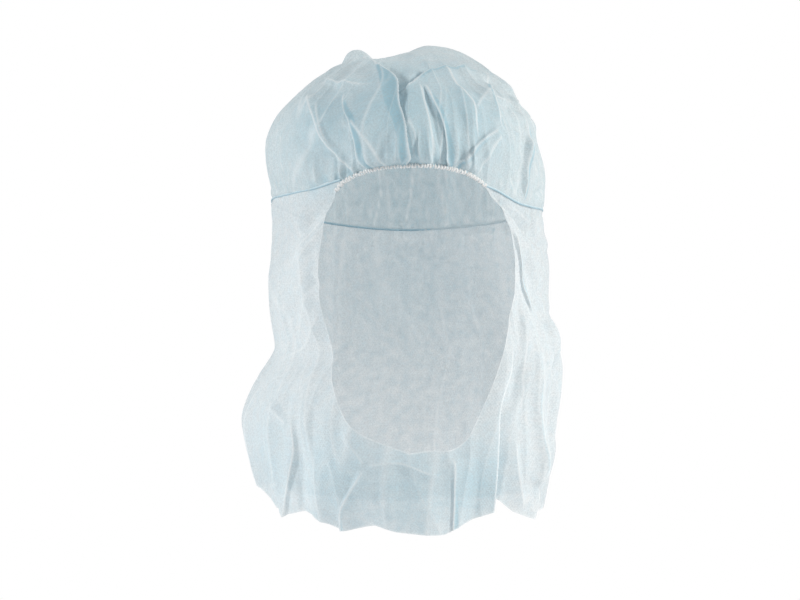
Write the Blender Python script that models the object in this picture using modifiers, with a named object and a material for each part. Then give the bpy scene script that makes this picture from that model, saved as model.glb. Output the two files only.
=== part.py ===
"""Disposable astronaut hood: one gathered crown and one neck drape with an open front.

Metres, +Z up, the front opening looks along -Y and +X is the right of the front view.
The origin is the point inside the crown that carries the hood.

A place on the cloth is a turn and a run. The turn is the angle in degrees round the vertical
axis, 0 at the front centre and positive towards +X. The run is the share of the meridian
from the top of the crown, 0, to the level of the lowest hem, 1.
"""
import math

import bpy
import numpy as np

# Overall sizes
HOOD_HEIGHT = 0.296
HALF_WIDTH = 0.090
FRONT_DEPTH = 0.100
BACK_DEPTH = 0.120

# Cloth, elastic and seam
CLOTH_WALL = 0.0012
PIECE_GAP = 0.0003
ELASTIC_HEIGHT = 0.0032
ELASTIC_THICKNESS = 0.0026
WELT_HEIGHT = 0.0020
WELT_THICKNESS = 0.0022

# The tallest and widest fold, and the tallest and widest puff
FOLD_RISE = 0.008
FOLD_SPREAD = 0.030
PUFF_RISE = 0.008
PUFF_REACH = 0.040

# A fold flattens out over this distance from the seam and the elastic
SEAM_CALM = 0.009

# The side walls of a fold curve in towards its crest by this power
FOLD_POWER = 1.5

# Furthest sideways bow of the drape's threads round the front opening, in degrees
THREAD_BOW = 18.0

# Step in degrees over which the slope of the rim is taken
SLOPE_STEP = 1.5

# Steps over which the outward direction of the plain form is taken: degrees and run
NORMAL_TURN = 0.5
NORMAL_RUN = 0.002

# The crown's threads lie closer as far as this turn to each side, and start at this run
FRONT_TURN = 95.0
TOP_RUN = 0.004

# Straight pieces that stand for a fold's line between two rows of its table
BENDS_PER_ROW = 4

# Mesh counts
CROWN_FRONT_COLUMNS = 62
CROWN_BACK_COLUMNS = 34
CROWN_ROWS = 13
OPENING_COLUMNS = 19
SEAM_COLUMNS = 48
DRAPE_ROWS = 14
ELASTIC_STATIONS = 44
WELT_STATIONS = 60
BEAD_SIDES = 6

# Horizontal sections of the plain form, without folds.
# Columns: height below the origin, left, right, front and back reach
# Shares of: HOOD_HEIGHT, HALF_WIDTH, HALF_WIDTH, FRONT_DEPTH, BACK_DEPTH
SECTIONS = (
    (-0.0120, -0.022, 0.022, -0.200, 0.167),
    (-0.0085, 0.256, 0.278, 0.090, 0.417),
    (-0.0020, 0.433, 0.456, 0.290, 0.567),
    (0.014, 0.567, 0.567, 0.460, 0.658),
    (0.037, 0.678, 0.656, 0.610, 0.733),
    (0.080, 0.811, 0.778, 0.820, 0.850),
    (0.122, 0.906, 0.856, 0.960, 0.925),
    (0.169, 0.967, 0.900, 1.030, 0.983),
    (0.203, 0.978, 0.922, 1.035, 1.008),
    (0.233, 0.972, 0.933, 1.000, 1.017),
    (0.270, 0.950, 0.933, 0.970, 1.017),
    (0.331, 0.944, 0.933, 0.950, 1.000),
    (0.416, 0.950, 0.944, 0.950, 0.958),
    (0.500, 0.944, 0.950, 0.950, 0.883),
    (0.557, 0.922, 1.000, 0.950, 0.817),
    (0.608, 0.917, 1.028, 0.950, 0.767),
    (0.669, 1.000, 1.029, 0.950, 0.733),
    (0.750, 1.094, 1.011, 0.940, 0.742),
    (0.834, 1.056, 0.978, 0.910, 0.767),
    (0.895, 1.011, 0.950, 0.860, 0.800),
    (0.986, 0.933, 0.900, 0.785, 0.842),
)

# Front elastic, from its left end to its right end
# Columns: turn, run
ELASTIC_LINE = (
    (-29.5, 0.423),
    (-26.0, 0.410),
    (-21.0, 0.400),
    (-16.0, 0.393),
    (-8.0, 0.3855),
    (0.0, 0.384),
    (6.0, 0.383),
    (13.5, 0.385),
    (20.0, 0.390),
    (25.0, 0.396),
    (29.5, 0.406),
    (32.0, 0.414),
)

# Seam from the right end of the elastic round the back to its left end
# Columns: turn, run
SEAM_LINE = (
    (33.2, 0.4140),
    (39.0, 0.4215),
    (45.0, 0.431),
    (52.0, 0.440),
    (62.0, 0.445),
    (82.0, 0.447),
    (110.0, 0.452),
    (145.0, 0.466),
    (180.0, 0.474),
    (215.0, 0.464),
    (250.0, 0.442),
    (270.0, 0.433),
    (285.5, 0.428),
    (298.5, 0.426),
    (310.5, 0.422),
    (319.5, 0.418),
    (328.5, 0.4095),
    (332.7, 0.4055),
)

# Edge of the front opening from its lowest point up to the right end of the elastic, and to the left
# Columns: turn, run
OPENING_RIGHT = (
    (2.5, 0.851),
    (11.5, 0.847),
    (18.5, 0.845),
    (23.0, 0.832),
    (26.5, 0.802),
    (30.5, 0.742),
    (34.0, 0.691),
    (40.5, 0.641),
    (47.0, 0.584),
    (48.2, 0.540),
    (47.0, 0.504),
    (42.5, 0.464),
    (36.8, 0.436),
    (34.3, 0.4225),
)
OPENING_LEFT = (
    (2.5, 0.851),
    (-6.0, 0.836),
    (-13.5, 0.821),
    (-19.5, 0.800),
    (-26.5, 0.759),
    (-33.0, 0.719),
    (-38.0, 0.672),
    (-39.3, 0.613),
    (-39.2, 0.549),
    (-38.0, 0.505),
    (-36.5, 0.471),
    (-33.3, 0.443),
    (-31.5, 0.4150),
)

# Hem, once round from the back
# Columns: turn, run
HEM_LINE = (
    (-180.0, 0.966),
    (-150.0, 0.958),
    (-120.0, 0.940),
    (-100.0, 0.922),
    (-86.0, 0.914),
    (-73.5, 0.924),
    (-65.0, 0.952),
    (-56.5, 0.961),
    (-44.5, 0.954),
    (-32.0, 0.969),
    (-26.0, 0.983),
    (-12.0, 0.973),
    (-3.5, 0.983),
    (16.0, 0.989),
    (23.5, 0.978),
    (31.0, 0.961),
    (37.0, 0.950),
    (40.5, 0.934),
    (50.5, 0.957),
    (62.0, 0.969),
    (79.0, 0.964),
    (92.0, 0.950),
    (120.0, 0.945),
    (150.0, 0.957),
    (180.0, 0.966),
)

# Where a thread of the drape that starts on the opening or the seam meets the hem
# Columns: share of the opening's edge from its lowest point up, turn at the hem, bow share
OPENING_THREADS = (
    (0.00, 0.0, 0.0),
    (0.12, 15.0, 0.0),
    (0.30, 32.0, 0.05),
    (0.55, 48.0, 0.20),
    (0.75, 61.0, 0.50),
    (1.00, 80.0, 1.0),
)

# Columns: share of the seam from its right end to its left end, turn at the hem, bow share
SEAM_THREADS = (
    (0.00, 80.0, 1.0),
    (0.12, 98.0, 0.70),
    (0.30, 130.0, 0.20),
    (0.50, 180.0, 0.0),
    (0.70, 230.0, -0.20),
    (0.88, 262.0, -0.70),
    (1.00, 280.0, -1.0),
)

# Puffs of the loose crown
# Columns: turn, run, rise as a share of PUFF_RISE, reach as a share of PUFF_REACH
PUFFS = (
    (-82.0, 0.118, 0.90, 0.36),
    (75.0, 0.045, 1.00, 0.62),
    (-10.0, 0.330, 0.35, 0.80),
    (35.0, 0.330, 0.30, 0.55),
    (-75.0, 0.300, 0.30, 0.70),
    (110.0, 0.300, 0.30, 0.90),
    (-150.0, 0.300, 0.40, 1.00),
    (165.0, 0.380, 0.35, 0.80),
    (-20.0, 0.050, -0.30, 0.30),
)

# Folds of the crown. A crest has a positive rise and a valley a negative one.
# Columns: places from the top down as turns and runs, rise as a share of FOLD_RISE,
# width to the left and to the right of the line as shares of FOLD_SPREAD,
# shares of the line over which the fold grows at its start and fades at its end
CROWN_FOLDS = (
    (((-75.0, 0.135), (-38.0, 0.127), (-17.0, 0.169), (-8.5, 0.204), (-3.5, 0.235), (-0.5, 0.290),
      (1.5, 0.315), (1.5, 0.384)), 0.62, 0.50, 0.13, 0.10, 0.02),
    (((-12.0, 0.169), (-4.0, 0.204), (0.5, 0.235), (3.5, 0.290), (5.0, 0.320), (4.5, 0.384)),
     -0.35, 0.10, 0.40, 0.15, 0.05),
    (((-35.0, 0.182), (-18.0, 0.224), (-10.0, 0.258), (-6.0, 0.300), (-3.5, 0.384)),
     -0.22, 0.25, 0.20, 0.20, 0.05),
    (((-34.0, 0.235), (-25.0, 0.308), (-20.0, 0.350), (-17.0, 0.384)), 0.30, 0.40, 0.13, 0.10, 0.05),
    (((-21.0, 0.300), (-13.0, 0.347), (-8.0, 0.384)), 0.24, 0.25, 0.25, 0.30, 0.05),
    (((-46.5, 0.247), (-35.5, 0.318), (-29.0, 0.356), (-20.0, 0.390)), 0.28, 0.30, 0.40, 0.25, 0.05),
    (((-58.5, 0.255), (-46.0, 0.290), (-37.5, 0.320), (-31.0, 0.365)),
     -0.25, 0.35, 0.30, 0.25, 0.25),
    (((7.5, 0.235), (9.5, 0.303), (11.0, 0.384)), 0.24, 0.20, 0.20, 0.25, 0.05),
    (((10.0, 0.244), (15.5, 0.303), (16.5, 0.384)), -0.24, 0.20, 0.25, 0.25, 0.05),
    (((-57.0, 0.204), (-34.0, 0.226), (-17.5, 0.235), (-12.0, 0.207)),
     0.26, 0.55, 0.30, 0.25, 0.25),
    (((-3.0, 0.251), (7.5, 0.230), (11.5, 0.197), (21.5, 0.174), (47.5, 0.178)),
     0.28, 0.45, 0.50, 0.20, 0.25),
    (((-10.0, 0.150), (18.0, 0.145), (50.0, 0.145)), -0.26, 0.40, 0.40, 0.30, 0.30),
    (((21.5, 0.174), (24.5, 0.212), (29.0, 0.276), (30.5, 0.300), (30.5, 0.343), (23.0, 0.395)),
     -0.32, 0.30, 0.40, 0.15, 0.05),
    (((30.5, 0.294), (38.0, 0.255), (47.0, 0.225)), 0.24, 0.30, 0.30, 0.30, 0.30),
    (((56.5, 0.190), (46.0, 0.235), (41.0, 0.270), (41.5, 0.323), (44.5, 0.350)),
     0.30, 0.35, 0.40, 0.25, 0.30),
    (((41.0, 0.329), (33.5, 0.374), (28.0, 0.400)), 0.26, 0.25, 0.30, 0.30, 0.05),
    (((64.0, 0.290), (60.0, 0.350), (56.0, 0.390), (51.5, 0.435)), -0.38, 0.40, 0.30, 0.30, 0.05),
    (((78.0, 0.250), (80.0, 0.330), (74.0, 0.440)), 0.26, 0.50, 0.50, 0.30, 0.05),
    (((100.0, 0.180), (104.0, 0.300), (100.0, 0.450)), -0.28, 0.50, 0.50, 0.35, 0.05),
    (((128.0, 0.260), (125.0, 0.360), (130.0, 0.460)), 0.30, 0.45, 0.45, 0.35, 0.05),
    (((150.0, 0.300), (155.0, 0.380), (152.0, 0.466)), -0.28, 0.45, 0.45, 0.35, 0.05),
    (((178.0, 0.240), (176.0, 0.350), (181.0, 0.470)), 0.32, 0.50, 0.45, 0.35, 0.05),
    (((-156.0, 0.290), (-152.0, 0.380), (-157.0, 0.466)), -0.28, 0.45, 0.45, 0.35, 0.05),
    (((-130.0, 0.240), (-133.0, 0.340), (-127.0, 0.450)), 0.30, 0.45, 0.45, 0.35, 0.05),
    (((-104.0, 0.190), (-106.0, 0.320), (-101.0, 0.437)), -0.26, 0.50, 0.45, 0.35, 0.05),
    (((-80.0, 0.260), (-74.0, 0.340), (-78.0, 0.430)), 0.24, 0.50, 0.40, 0.30, 0.05),
    (((-60.0, 0.340), (-55.0, 0.380), (-52.0, 0.422)), -0.20, 0.35, 0.35, 0.35, 0.05),
)

# Folds of the drape, in the same columns
DRAPE_FOLDS = (
    (((46.0, 0.455), (53.5, 0.467), (59.5, 0.491), (66.5, 0.508), (83.0, 0.524)),
     -0.42, 0.35, 0.40, 0.05, 0.30),
    (((47.5, 0.478), (51.5, 0.524), (56.0, 0.584), (58.5, 0.646)), 0.34, 0.30, 0.45, 0.25, 0.25),
    (((77.5, 0.472), (72.0, 0.506)), 0.20, 0.25, 0.25, 0.30, 0.30),
    (((84.0, 0.539), (76.0, 0.560), (68.0, 0.574)), 0.20, 0.25, 0.25, 0.30, 0.30),
    (((41.0, 0.660), (39.5, 0.729), (37.5, 0.766), (37.5, 0.829), (38.0, 0.880), (38.5, 0.990)),
     0.52, 0.65, 0.12, 0.30, 0.0),
    (((43.5, 0.665), (42.5, 0.729), (41.0, 0.766), (41.0, 0.829), (41.5, 0.880), (42.0, 0.990)),
     -0.85, 0.12, 0.75, 0.30, 0.0),
    (((47.5, 0.652), (49.5, 0.700), (51.0, 0.790)), 0.20, 0.25, 0.35, 0.30, 0.35),
    (((60.0, 0.700), (63.0, 0.820), (60.0, 0.975)), 0.35, 0.50, 0.50, 0.40, 0.0),
    (((-31.0, 0.428), (-43.5, 0.478), (-62.0, 0.540)), -0.18, 0.30, 0.30, 0.10, 0.40),
    (((-39.0, 0.562), (-50.0, 0.606), (-68.5, 0.653)), -0.20, 0.35, 0.35, 0.10, 0.35),
    (((-39.0, 0.640), (-52.0, 0.690), (-70.0, 0.700)), 0.20, 0.35, 0.35, 0.20, 0.35),
    (((-43.0, 0.760), (-44.5, 0.836), (-49.5, 0.901), (-50.5, 0.990)), 0.42, 0.45, 0.40, 0.30, 0.0),
    (((-33.0, 0.790), (-34.0, 0.850), (-36.5, 0.990)), -0.40, 0.40, 0.40, 0.35, 0.0),
    (((-60.0, 0.771), (-47.0, 0.808)), 0.18, 0.25, 0.25, 0.30, 0.30),
    (((-64.0, 0.840), (-62.0, 0.900), (-64.5, 0.990)), -0.34, 0.45, 0.35, 0.40, 0.0),
    (((-76.0, 0.690), (-82.0, 0.760), (-82.0, 0.850), (-78.0, 0.980)), 0.34, 0.45, 0.50, 0.30, 0.0),
    (((-20.0, 0.810), (-13.5, 0.871)), 0.20, 0.25, 0.30, 0.10, 0.10),
    (((-13.5, 0.871), (-1.5, 0.867), (9.5, 0.885), (17.0, 0.897)), 0.20, 0.30, 0.40, 0.15, 0.30),
    (((-13.5, 0.871), (-18.5, 0.910), (-24.0, 0.949), (-27.0, 0.990)), 0.36, 0.30, 0.45, 0.20, 0.0),
    (((-20.0, 0.885), (-24.0, 0.920), (-29.5, 0.990)), -0.30, 0.30, 0.15, 0.30, 0.0),
    (((18.0, 0.862), (17.5, 0.920), (17.0, 0.990)), -0.26, 0.30, 0.12, 0.30, 0.0),
    (((19.5, 0.862), (21.5, 0.920), (22.0, 0.990)), 0.30, 0.18, 0.30, 0.30, 0.0),
    (((3.0, 0.910), (2.0, 0.990)), 0.25, 0.50, 0.50, 0.50, 0.0),
    (((95.0, 0.560), (98.0, 0.750), (96.0, 0.985)), -0.62, 0.55, 0.60, 0.45, 0.0),
    (((118.0, 0.520), (121.0, 0.740), (119.0, 0.985)), 0.62, 0.60, 0.55, 0.45, 0.0),
    (((141.0, 0.560), (143.0, 0.750), (144.0, 0.985)), -0.62, 0.60, 0.60, 0.45, 0.0),
    (((168.0, 0.520), (166.0, 0.740), (169.0, 0.985)), 0.62, 0.65, 0.60, 0.45, 0.0),
    (((-168.0, 0.570), (-165.0, 0.750), (-166.0, 0.985)), -0.58, 0.55, 0.60, 0.45, 0.0),
    (((-146.0, 0.530), (-142.0, 0.740), (-144.0, 0.985)), 0.62, 0.60, 0.60, 0.45, 0.0),
    (((-122.0, 0.560), (-119.0, 0.750), (-121.0, 0.985)), -0.58, 0.55, 0.60, 0.45, 0.0),
    (((-104.0, 0.540), (-99.0, 0.740), (-100.0, 0.985)), 0.50, 0.55, 0.55, 0.45, 0.0),
    (((150.0, 0.490), (175.0, 0.530), (-160.0, 0.500)), -0.40, 0.60, 0.50, 0.35, 0.35),
)


def clear_scene():
    for item in list(bpy.data.objects):
        bpy.data.objects.remove(item, do_unlink=True)


def smooth_table(at, stations, values):
    """Values of a table at some stations, joined by smooth curves through its rows."""
    slopes = np.gradient(values, stations, axis=0)
    index = np.clip(np.searchsorted(stations, at, side="right") - 1, 0, len(stations) - 2)
    span = stations[index + 1] - stations[index]
    t = ((at - stations[index]) / span)[..., None]
    span = span[..., None]
    start = (2 * t**3 - 3 * t**2 + 1) * values[index] + (t**3 - 2 * t**2 + t) * span * slopes[index]
    end = (3 * t**2 - 2 * t**3) * values[index + 1] + (t**3 - t**2) * span * slopes[index + 1]
    return start + end


def section_table():
    """Sections in metres with the run of each, and the length of the whole meridian."""
    sizes = np.array((-HOOD_HEIGHT, HALF_WIDTH, HALF_WIDTH, FRONT_DEPTH, BACK_DEPTH))
    sections = np.array(SECTIONS) * sizes
    reach = sections[:, 1:].mean(axis=1)
    steps = np.hypot(np.diff(sections[:, 0]), np.diff(reach))
    runs = np.concatenate(([0.0], np.cumsum(steps)))
    return runs / runs[-1], sections, runs[-1]


RUNS, SECTION_SIZES, MERIDIAN = section_table()


def plain_form(turn, run):
    """Points of the plain form at turns in degrees and runs."""
    turn, run = np.broadcast_arrays(np.asarray(turn, float), np.asarray(run, float))
    height, left, right, front, back = np.moveaxis(smooth_table(run, RUNS, SECTION_SIZES), -1, 0)
    angle = np.radians(turn)
    across = (right - left) / 2 + (right + left) / 2 * np.sin(angle)
    deep = (back - front) / 2 - (back + front) / 2 * np.cos(angle)
    return np.stack((across, deep, height), axis=-1)


def plain_normal(turn, run):
    """Outward directions of the plain form."""
    run = np.clip(run, NORMAL_RUN, 1 - NORMAL_RUN)
    along = plain_form(turn + NORMAL_TURN, run) - plain_form(turn - NORMAL_TURN, run)
    down = plain_form(turn, run + NORMAL_RUN) - plain_form(turn, run - NORMAL_RUN)
    normal = np.cross(along, -down)
    return normal / np.linalg.norm(normal, axis=-1, keepdims=True)


def smooth_line(rows, shares):
    """Places at shares of the length of a line given by its rows."""
    places = np.array(rows, float)
    points = plain_form(places[:, 0], places[:, 1])
    lengths = np.concatenate(([0.0], np.cumsum(np.linalg.norm(np.diff(points, axis=0), axis=1))))
    return smooth_table(np.asarray(shares, float) * lengths[-1], lengths, places)


def growth(share, over):
    """0 at the start of a line and 1 from the share where the fold is fully grown."""
    if over <= 0:
        return np.ones_like(share)
    t = np.clip(share / over, 0, 1)
    return t * t * (3 - 2 * t)


def fold_height(points, normals, fold):
    """Height that one fold adds at each point of the cloth."""
    places, rise, left, right, grow, fade = fold
    bends = BENDS_PER_ROW * (len(places) - 1) + 1
    line = smooth_line(places, np.linspace(0, 1, bends))
    line = plain_form(line[:, 0], line[:, 1])
    starts = line[:-1]
    steps = np.diff(line, axis=0)
    lengths = np.linalg.norm(steps, axis=1)
    offsets = points[:, None, :] - starts[None, :, :]
    t = np.clip((offsets * steps).sum(-1) / lengths**2, 0, 1)
    gaps = offsets - t[..., None] * steps
    nearest = np.linalg.norm(gaps, axis=-1).argmin(axis=1)
    pick = np.arange(len(points))
    gap = gaps[pick, nearest]
    towards_right = np.cross(normals, steps[nearest])
    side = (gap * towards_right).sum(-1)
    distance = np.linalg.norm(gap, axis=1)
    width = np.where(side > 0, right, left) * FOLD_SPREAD
    passed = np.concatenate(([0.0], np.cumsum(lengths)))
    share = (passed[nearest] + t[pick, nearest] * lengths[nearest]) / passed[-1]
    wall = np.clip(1 - distance / width, 0, 1) ** FOLD_POWER
    return rise * FOLD_RISE * wall * growth(share, grow) * growth(1 - share, fade)


def puff_height(points, puff):
    """Height that one puff adds at each point of the cloth."""
    turn, run, rise, reach = puff
    centre = plain_form(turn, run)
    distance = np.linalg.norm(points - centre, axis=1)
    return rise * PUFF_RISE * np.exp(-((distance / (reach * PUFF_REACH)) ** 3))


def seam_run(turn):
    """Run of the lower rim of the crown at a turn, once round the hood."""
    turn = np.mod(np.asarray(turn, float), 360)
    steps = np.linspace(0, 1, 6 * len(SEAM_LINE))
    seam = smooth_line(SEAM_LINE, steps)
    elastic = smooth_line(ELASTIC_LINE, steps)
    on_seam = np.interp(turn, seam[:, 0], seam[:, 1])
    signed = np.where(turn > 180, turn - 360, turn)
    on_elastic = np.interp(signed, elastic[:, 0], elastic[:, 1])
    at_front = (signed > elastic[0, 0]) & (signed < elastic[-1, 0])
    seam_there = (turn >= seam[0, 0]) & (turn <= seam[-1, 0])
    both = np.where(seam_there, np.minimum(on_seam, on_elastic), on_elastic)
    return np.where(at_front, both, on_seam)


def calm_near_seam(turn, run):
    """0 at the seam and the elastic, 1 where the cloth is free to fold."""
    away = np.abs(run - seam_run(turn)) * MERIDIAN
    return growth(away / SEAM_CALM, 1.0)


def shaped(turn, run, folds, puffs):
    """The plain form with its puffs and folds."""
    shape = turn.shape
    flat_turn = turn.reshape(-1)
    flat_run = run.reshape(-1)
    points = plain_form(flat_turn, flat_run)
    normals = plain_normal(flat_turn, flat_run)
    height = np.zeros(len(points))
    for fold in folds:
        height += fold_height(points, normals, fold)
    for puff in puffs:
        height += puff_height(points, puff)
    height *= calm_near_seam(flat_turn, flat_run)
    moved = points + normals * height[:, None]
    return moved.reshape(shape + (3,))


def ring_faces(columns, rows):
    """Quads between neighbouring columns of a closed ring, outward facing."""
    faces = []
    for column in range(columns):
        following = (column + 1) % columns
        for row in range(rows - 1):
            first = column * rows + row
            second = following * rows + row
            faces.append((first, first + 1, second + 1, second))
    return faces


def new_object(name, points, faces, material):
    mesh = bpy.data.meshes.new(name)
    mesh.from_pydata([tuple(map(float, point)) for point in points], [], faces)
    mesh.validate()
    mesh.shade_smooth()
    item = bpy.data.objects.new(name, mesh)
    item.data.materials.append(material)
    collection.objects.link(item)
    return item


def add_wall(item):
    wall = item.modifiers.new("wall", "SOLIDIFY")
    wall.thickness = CLOTH_WALL
    wall.offset = 0
    wall.use_even_offset = False


def new_material(name, colour, roughness):
    material = bpy.data.materials.new(name)
    material.use_nodes = True
    shader = material.node_tree.nodes["Principled BSDF"]
    shader.inputs["Base Color"].default_value = (*colour, 1)
    shader.inputs["Roughness"].default_value = roughness
    shader.inputs["Metallic"].default_value = 0
    material.diffuse_color = (*colour, 1)
    return material


def build_crown(material):
    """Loose cap, gathered along the elastic and the seam."""
    front = np.linspace(-FRONT_TURN, FRONT_TURN, CROWN_FRONT_COLUMNS, endpoint=False)
    back = np.linspace(FRONT_TURN, 360 - FRONT_TURN, CROWN_BACK_COLUMNS, endpoint=False)
    turns = np.concatenate((front, back))
    signed = np.where(turns > 180, turns - 360, turns)
    at_front = (signed > ELASTIC_LINE[0][0]) & (signed < ELASTIC_LINE[-1][0])
    bead = np.where(at_front, ELASTIC_HEIGHT, WELT_HEIGHT)
    around = np.radians(2 * SLOPE_STEP) * HALF_WIDTH
    slope = (seam_run(turns + SLOPE_STEP) - seam_run(turns - SLOPE_STEP)) * MERIDIAN / around
    clear = (bead / 2 + PIECE_GAP) * np.hypot(1, slope)
    rim = seam_run(turns) - clear / MERIDIAN
    shares = np.linspace(0, 1, CROWN_ROWS + 1)[1:]
    run = rim[:, None] * shares[None, :]
    turn = np.broadcast_to(turns[:, None], run.shape)
    points = shaped(turn, run, CROWN_FOLDS, PUFFS).reshape(-1, 3)
    top = shaped(np.zeros(1), np.full(1, TOP_RUN), CROWN_FOLDS, PUFFS)
    faces = ring_faces(len(turns), CROWN_ROWS)
    apex = len(points)
    for column in range(len(turns)):
        following = (column + 1) % len(turns)
        faces.append((apex, column * CROWN_ROWS, following * CROWN_ROWS))
    item = new_object("crown", np.vstack((points, top)), faces, material)
    add_wall(item)


def drape_places():
    """Turns and runs of the drape's threads from the opening or the seam down to the hem."""
    opening_shares = np.linspace(0, 1, OPENING_COLUMNS)
    seam_shares = np.linspace(0, 1, SEAM_COLUMNS)
    opening_threads = np.array(OPENING_THREADS)
    seam_threads = np.array(SEAM_THREADS)
    welt_clear = (WELT_HEIGHT / 2 + PIECE_GAP) / MERIDIAN

    right = smooth_line(OPENING_RIGHT, opening_shares)
    left = smooth_line(OPENING_LEFT, opening_shares)
    below_seam = [(turn, run + welt_clear) for turn, run in SEAM_LINE[1:-2]]
    left_corner = (OPENING_LEFT[-1][0] + 360, OPENING_LEFT[-1][1])
    seam = smooth_line([OPENING_RIGHT[-1]] + below_seam + [left_corner], seam_shares)

    hem_right = smooth_table(opening_shares, opening_threads[:, 0], opening_threads[:, 1:])
    hem_seam = smooth_table(seam_shares, seam_threads[:, 0], seam_threads[:, 1:])
    hem_left = hem_right * -1
    lowest_turn = OPENING_RIGHT[0][0]
    hem_right[:, 0] += lowest_turn * (1 - opening_shares)
    hem_left[:, 0] += lowest_turn * (1 - opening_shares)

    start = np.vstack((right[:-1], seam[:-1], left[::-1][:-1] + (360, 0)))
    ends = np.vstack((hem_right[:-1], hem_seam[:-1], hem_left[::-1][:-1] + (360, 0)))
    hem = np.array(HEM_LINE)
    signed = np.mod(ends[:, 0] + 180, 360) - 180
    hem_run = smooth_table(signed, hem[:, 0], hem[:, 1:])[:, 0]

    down = np.linspace(0, 1, DRAPE_ROWS)
    bow = 4 * down * (1 - down)
    turn = start[:, :1] * (1 - down) + ends[:, :1] * down + THREAD_BOW * ends[:, 1:] * bow
    run = start[:, 1:] * (1 - down) + hem_run[:, None] * down
    return turn, run


def build_drape(material):
    """Cloth round the opening, down the sides and the back and across the front below it."""
    turn, run = drape_places()
    points = shaped(turn, run, DRAPE_FOLDS, ()).reshape(-1, 3)
    item = new_object("neck_drape", points, ring_faces(len(turn), DRAPE_ROWS), material)
    add_wall(item)


def build_bead(name, line, stations, height, thickness, material):
    """Oval bead along a line of the plain form, closed at both ends."""
    places = smooth_line(line, np.linspace(0, 1, stations))
    centre = plain_form(places[:, 0], places[:, 1])
    normal = plain_normal(places[:, 0], places[:, 1])
    along = np.gradient(centre, axis=0)
    across = np.cross(normal, along)
    across /= np.linalg.norm(across, axis=1, keepdims=True)
    points = []
    for middle, out, up in zip(centre, normal, across):
        for side in range(BEAD_SIDES):
            angle = 2 * math.pi * (side + 0.5) / BEAD_SIDES
            rise = math.sin(angle) * height / 2
            reach = math.cos(angle) * thickness / 2
            points.append(middle + out * reach + up * rise)
    faces = []
    for station in range(stations - 1):
        for side in range(BEAD_SIDES):
            near = station * BEAD_SIDES + side
            beside = station * BEAD_SIDES + (side + 1) % BEAD_SIDES
            faces.append((near, near + BEAD_SIDES, beside + BEAD_SIDES, beside))
    last = (stations - 1) * BEAD_SIDES
    faces.append(tuple(range(BEAD_SIDES)))
    faces.append(tuple(last + side for side in reversed(range(BEAD_SIDES))))
    new_object(name, points, faces, material)


clear_scene()
collection = bpy.data.collections.new("disposable_astronaut_hood")
bpy.context.scene.collection.children.link(collection)

crown_cloth = new_material("crown_nonwoven", (0.60, 0.74, 0.80), 0.75)
drape_cloth = new_material("drape_nonwoven", (0.66, 0.78, 0.83), 0.75)
elastic_white = new_material("elastic_white", (0.88, 0.88, 0.86), 0.70)
seam_cloth = new_material("seam_nonwoven", (0.52, 0.66, 0.72), 0.65)

build_crown(crown_cloth)
build_drape(drape_cloth)
build_bead("elastic_band", ELASTIC_LINE, ELASTIC_STATIONS, ELASTIC_HEIGHT, ELASTIC_THICKNESS, elastic_white)
build_bead("seam_welt", SEAM_LINE, WELT_STATIONS, WELT_HEIGHT, WELT_THICKNESS, seam_cloth)
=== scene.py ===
"""Looks of the disposable astronaut hood: thin gathered cloth, crimped elastic and welded seam.

Metres, +Z up, the front opening looks along -Y. A place on the cloth is a turn, in degrees round
the vertical axis from the front centre towards +X, and a run, the share of the meridian from the
top of the crown, 0, to the level of the lowest hem, 1.
"""
import math

import bpy
import numpy as np
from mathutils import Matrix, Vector, noise


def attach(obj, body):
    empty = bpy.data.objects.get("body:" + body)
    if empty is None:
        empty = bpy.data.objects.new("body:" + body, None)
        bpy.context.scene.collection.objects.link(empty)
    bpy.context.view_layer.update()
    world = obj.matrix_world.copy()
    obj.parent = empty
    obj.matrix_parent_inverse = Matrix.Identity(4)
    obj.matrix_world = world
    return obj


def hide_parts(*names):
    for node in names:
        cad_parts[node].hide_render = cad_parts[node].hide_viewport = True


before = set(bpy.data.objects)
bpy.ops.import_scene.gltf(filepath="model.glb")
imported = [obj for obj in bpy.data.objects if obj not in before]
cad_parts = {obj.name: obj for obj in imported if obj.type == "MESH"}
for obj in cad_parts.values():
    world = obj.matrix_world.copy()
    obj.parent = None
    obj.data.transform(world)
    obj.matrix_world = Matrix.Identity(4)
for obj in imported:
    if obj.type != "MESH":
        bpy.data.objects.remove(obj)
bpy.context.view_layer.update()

# Overall sizes of the plain form
HOOD_HEIGHT = 0.296
HALF_WIDTH = 0.090
FRONT_DEPTH = 0.100
BACK_DEPTH = 0.120

# Elastic and seam
ELASTIC_HEIGHT = 0.0024
ELASTIC_THICKNESS = 0.0017
ELASTIC_PROUD = 0.0013
CRIMP_PITCH = 0.0017
CRIMP_DEPTH = 0.30
CRIMP_ZIGZAG = 0.00032
WELT_HEIGHT = 0.0014
WELT_THICKNESS = 0.0009
WELT_PROUD = 0.0002

# The tallest and widest fold, the longest lean of a lapped fold, and the tallest and widest puff
FOLD_RISE = 0.008
FOLD_SPREAD = 0.030
FOLD_LEAN = 0.010
PUFF_RISE = 0.008
PUFF_REACH = 0.040

# Large folds flatten to this share at the seam, and stand free at this distance from it
SEAM_CALM = 0.007
SEAM_SHARE = 0.30

# The side walls of a fold curve in towards its crest by this power
FOLD_POWER = 1.25

# Half the width of a fold's flat edge, and of the paler line painted along its crest as a painted highlight. A
# fold this tall or taller gets the full painted highlight
FOLD_EDGE = 0.0004
CREASE_MARK = 0.0010
FULL_MARK_RISE = 0.0018

# A fold leans fully from this share of its line on. One that leans this far or more lies three deep, and the
# cloth under the lap takes the lapped colour, partly as denser cloth and partly as painted shade, with an edge
# this soft. The small folds at a line of stitches lean up to this far
LEAN_GROW = 0.40
LAP_LEAST = 0.0015
LAP_SOFT = 0.0012
GATHER_LEAN = 0.0030

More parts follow.
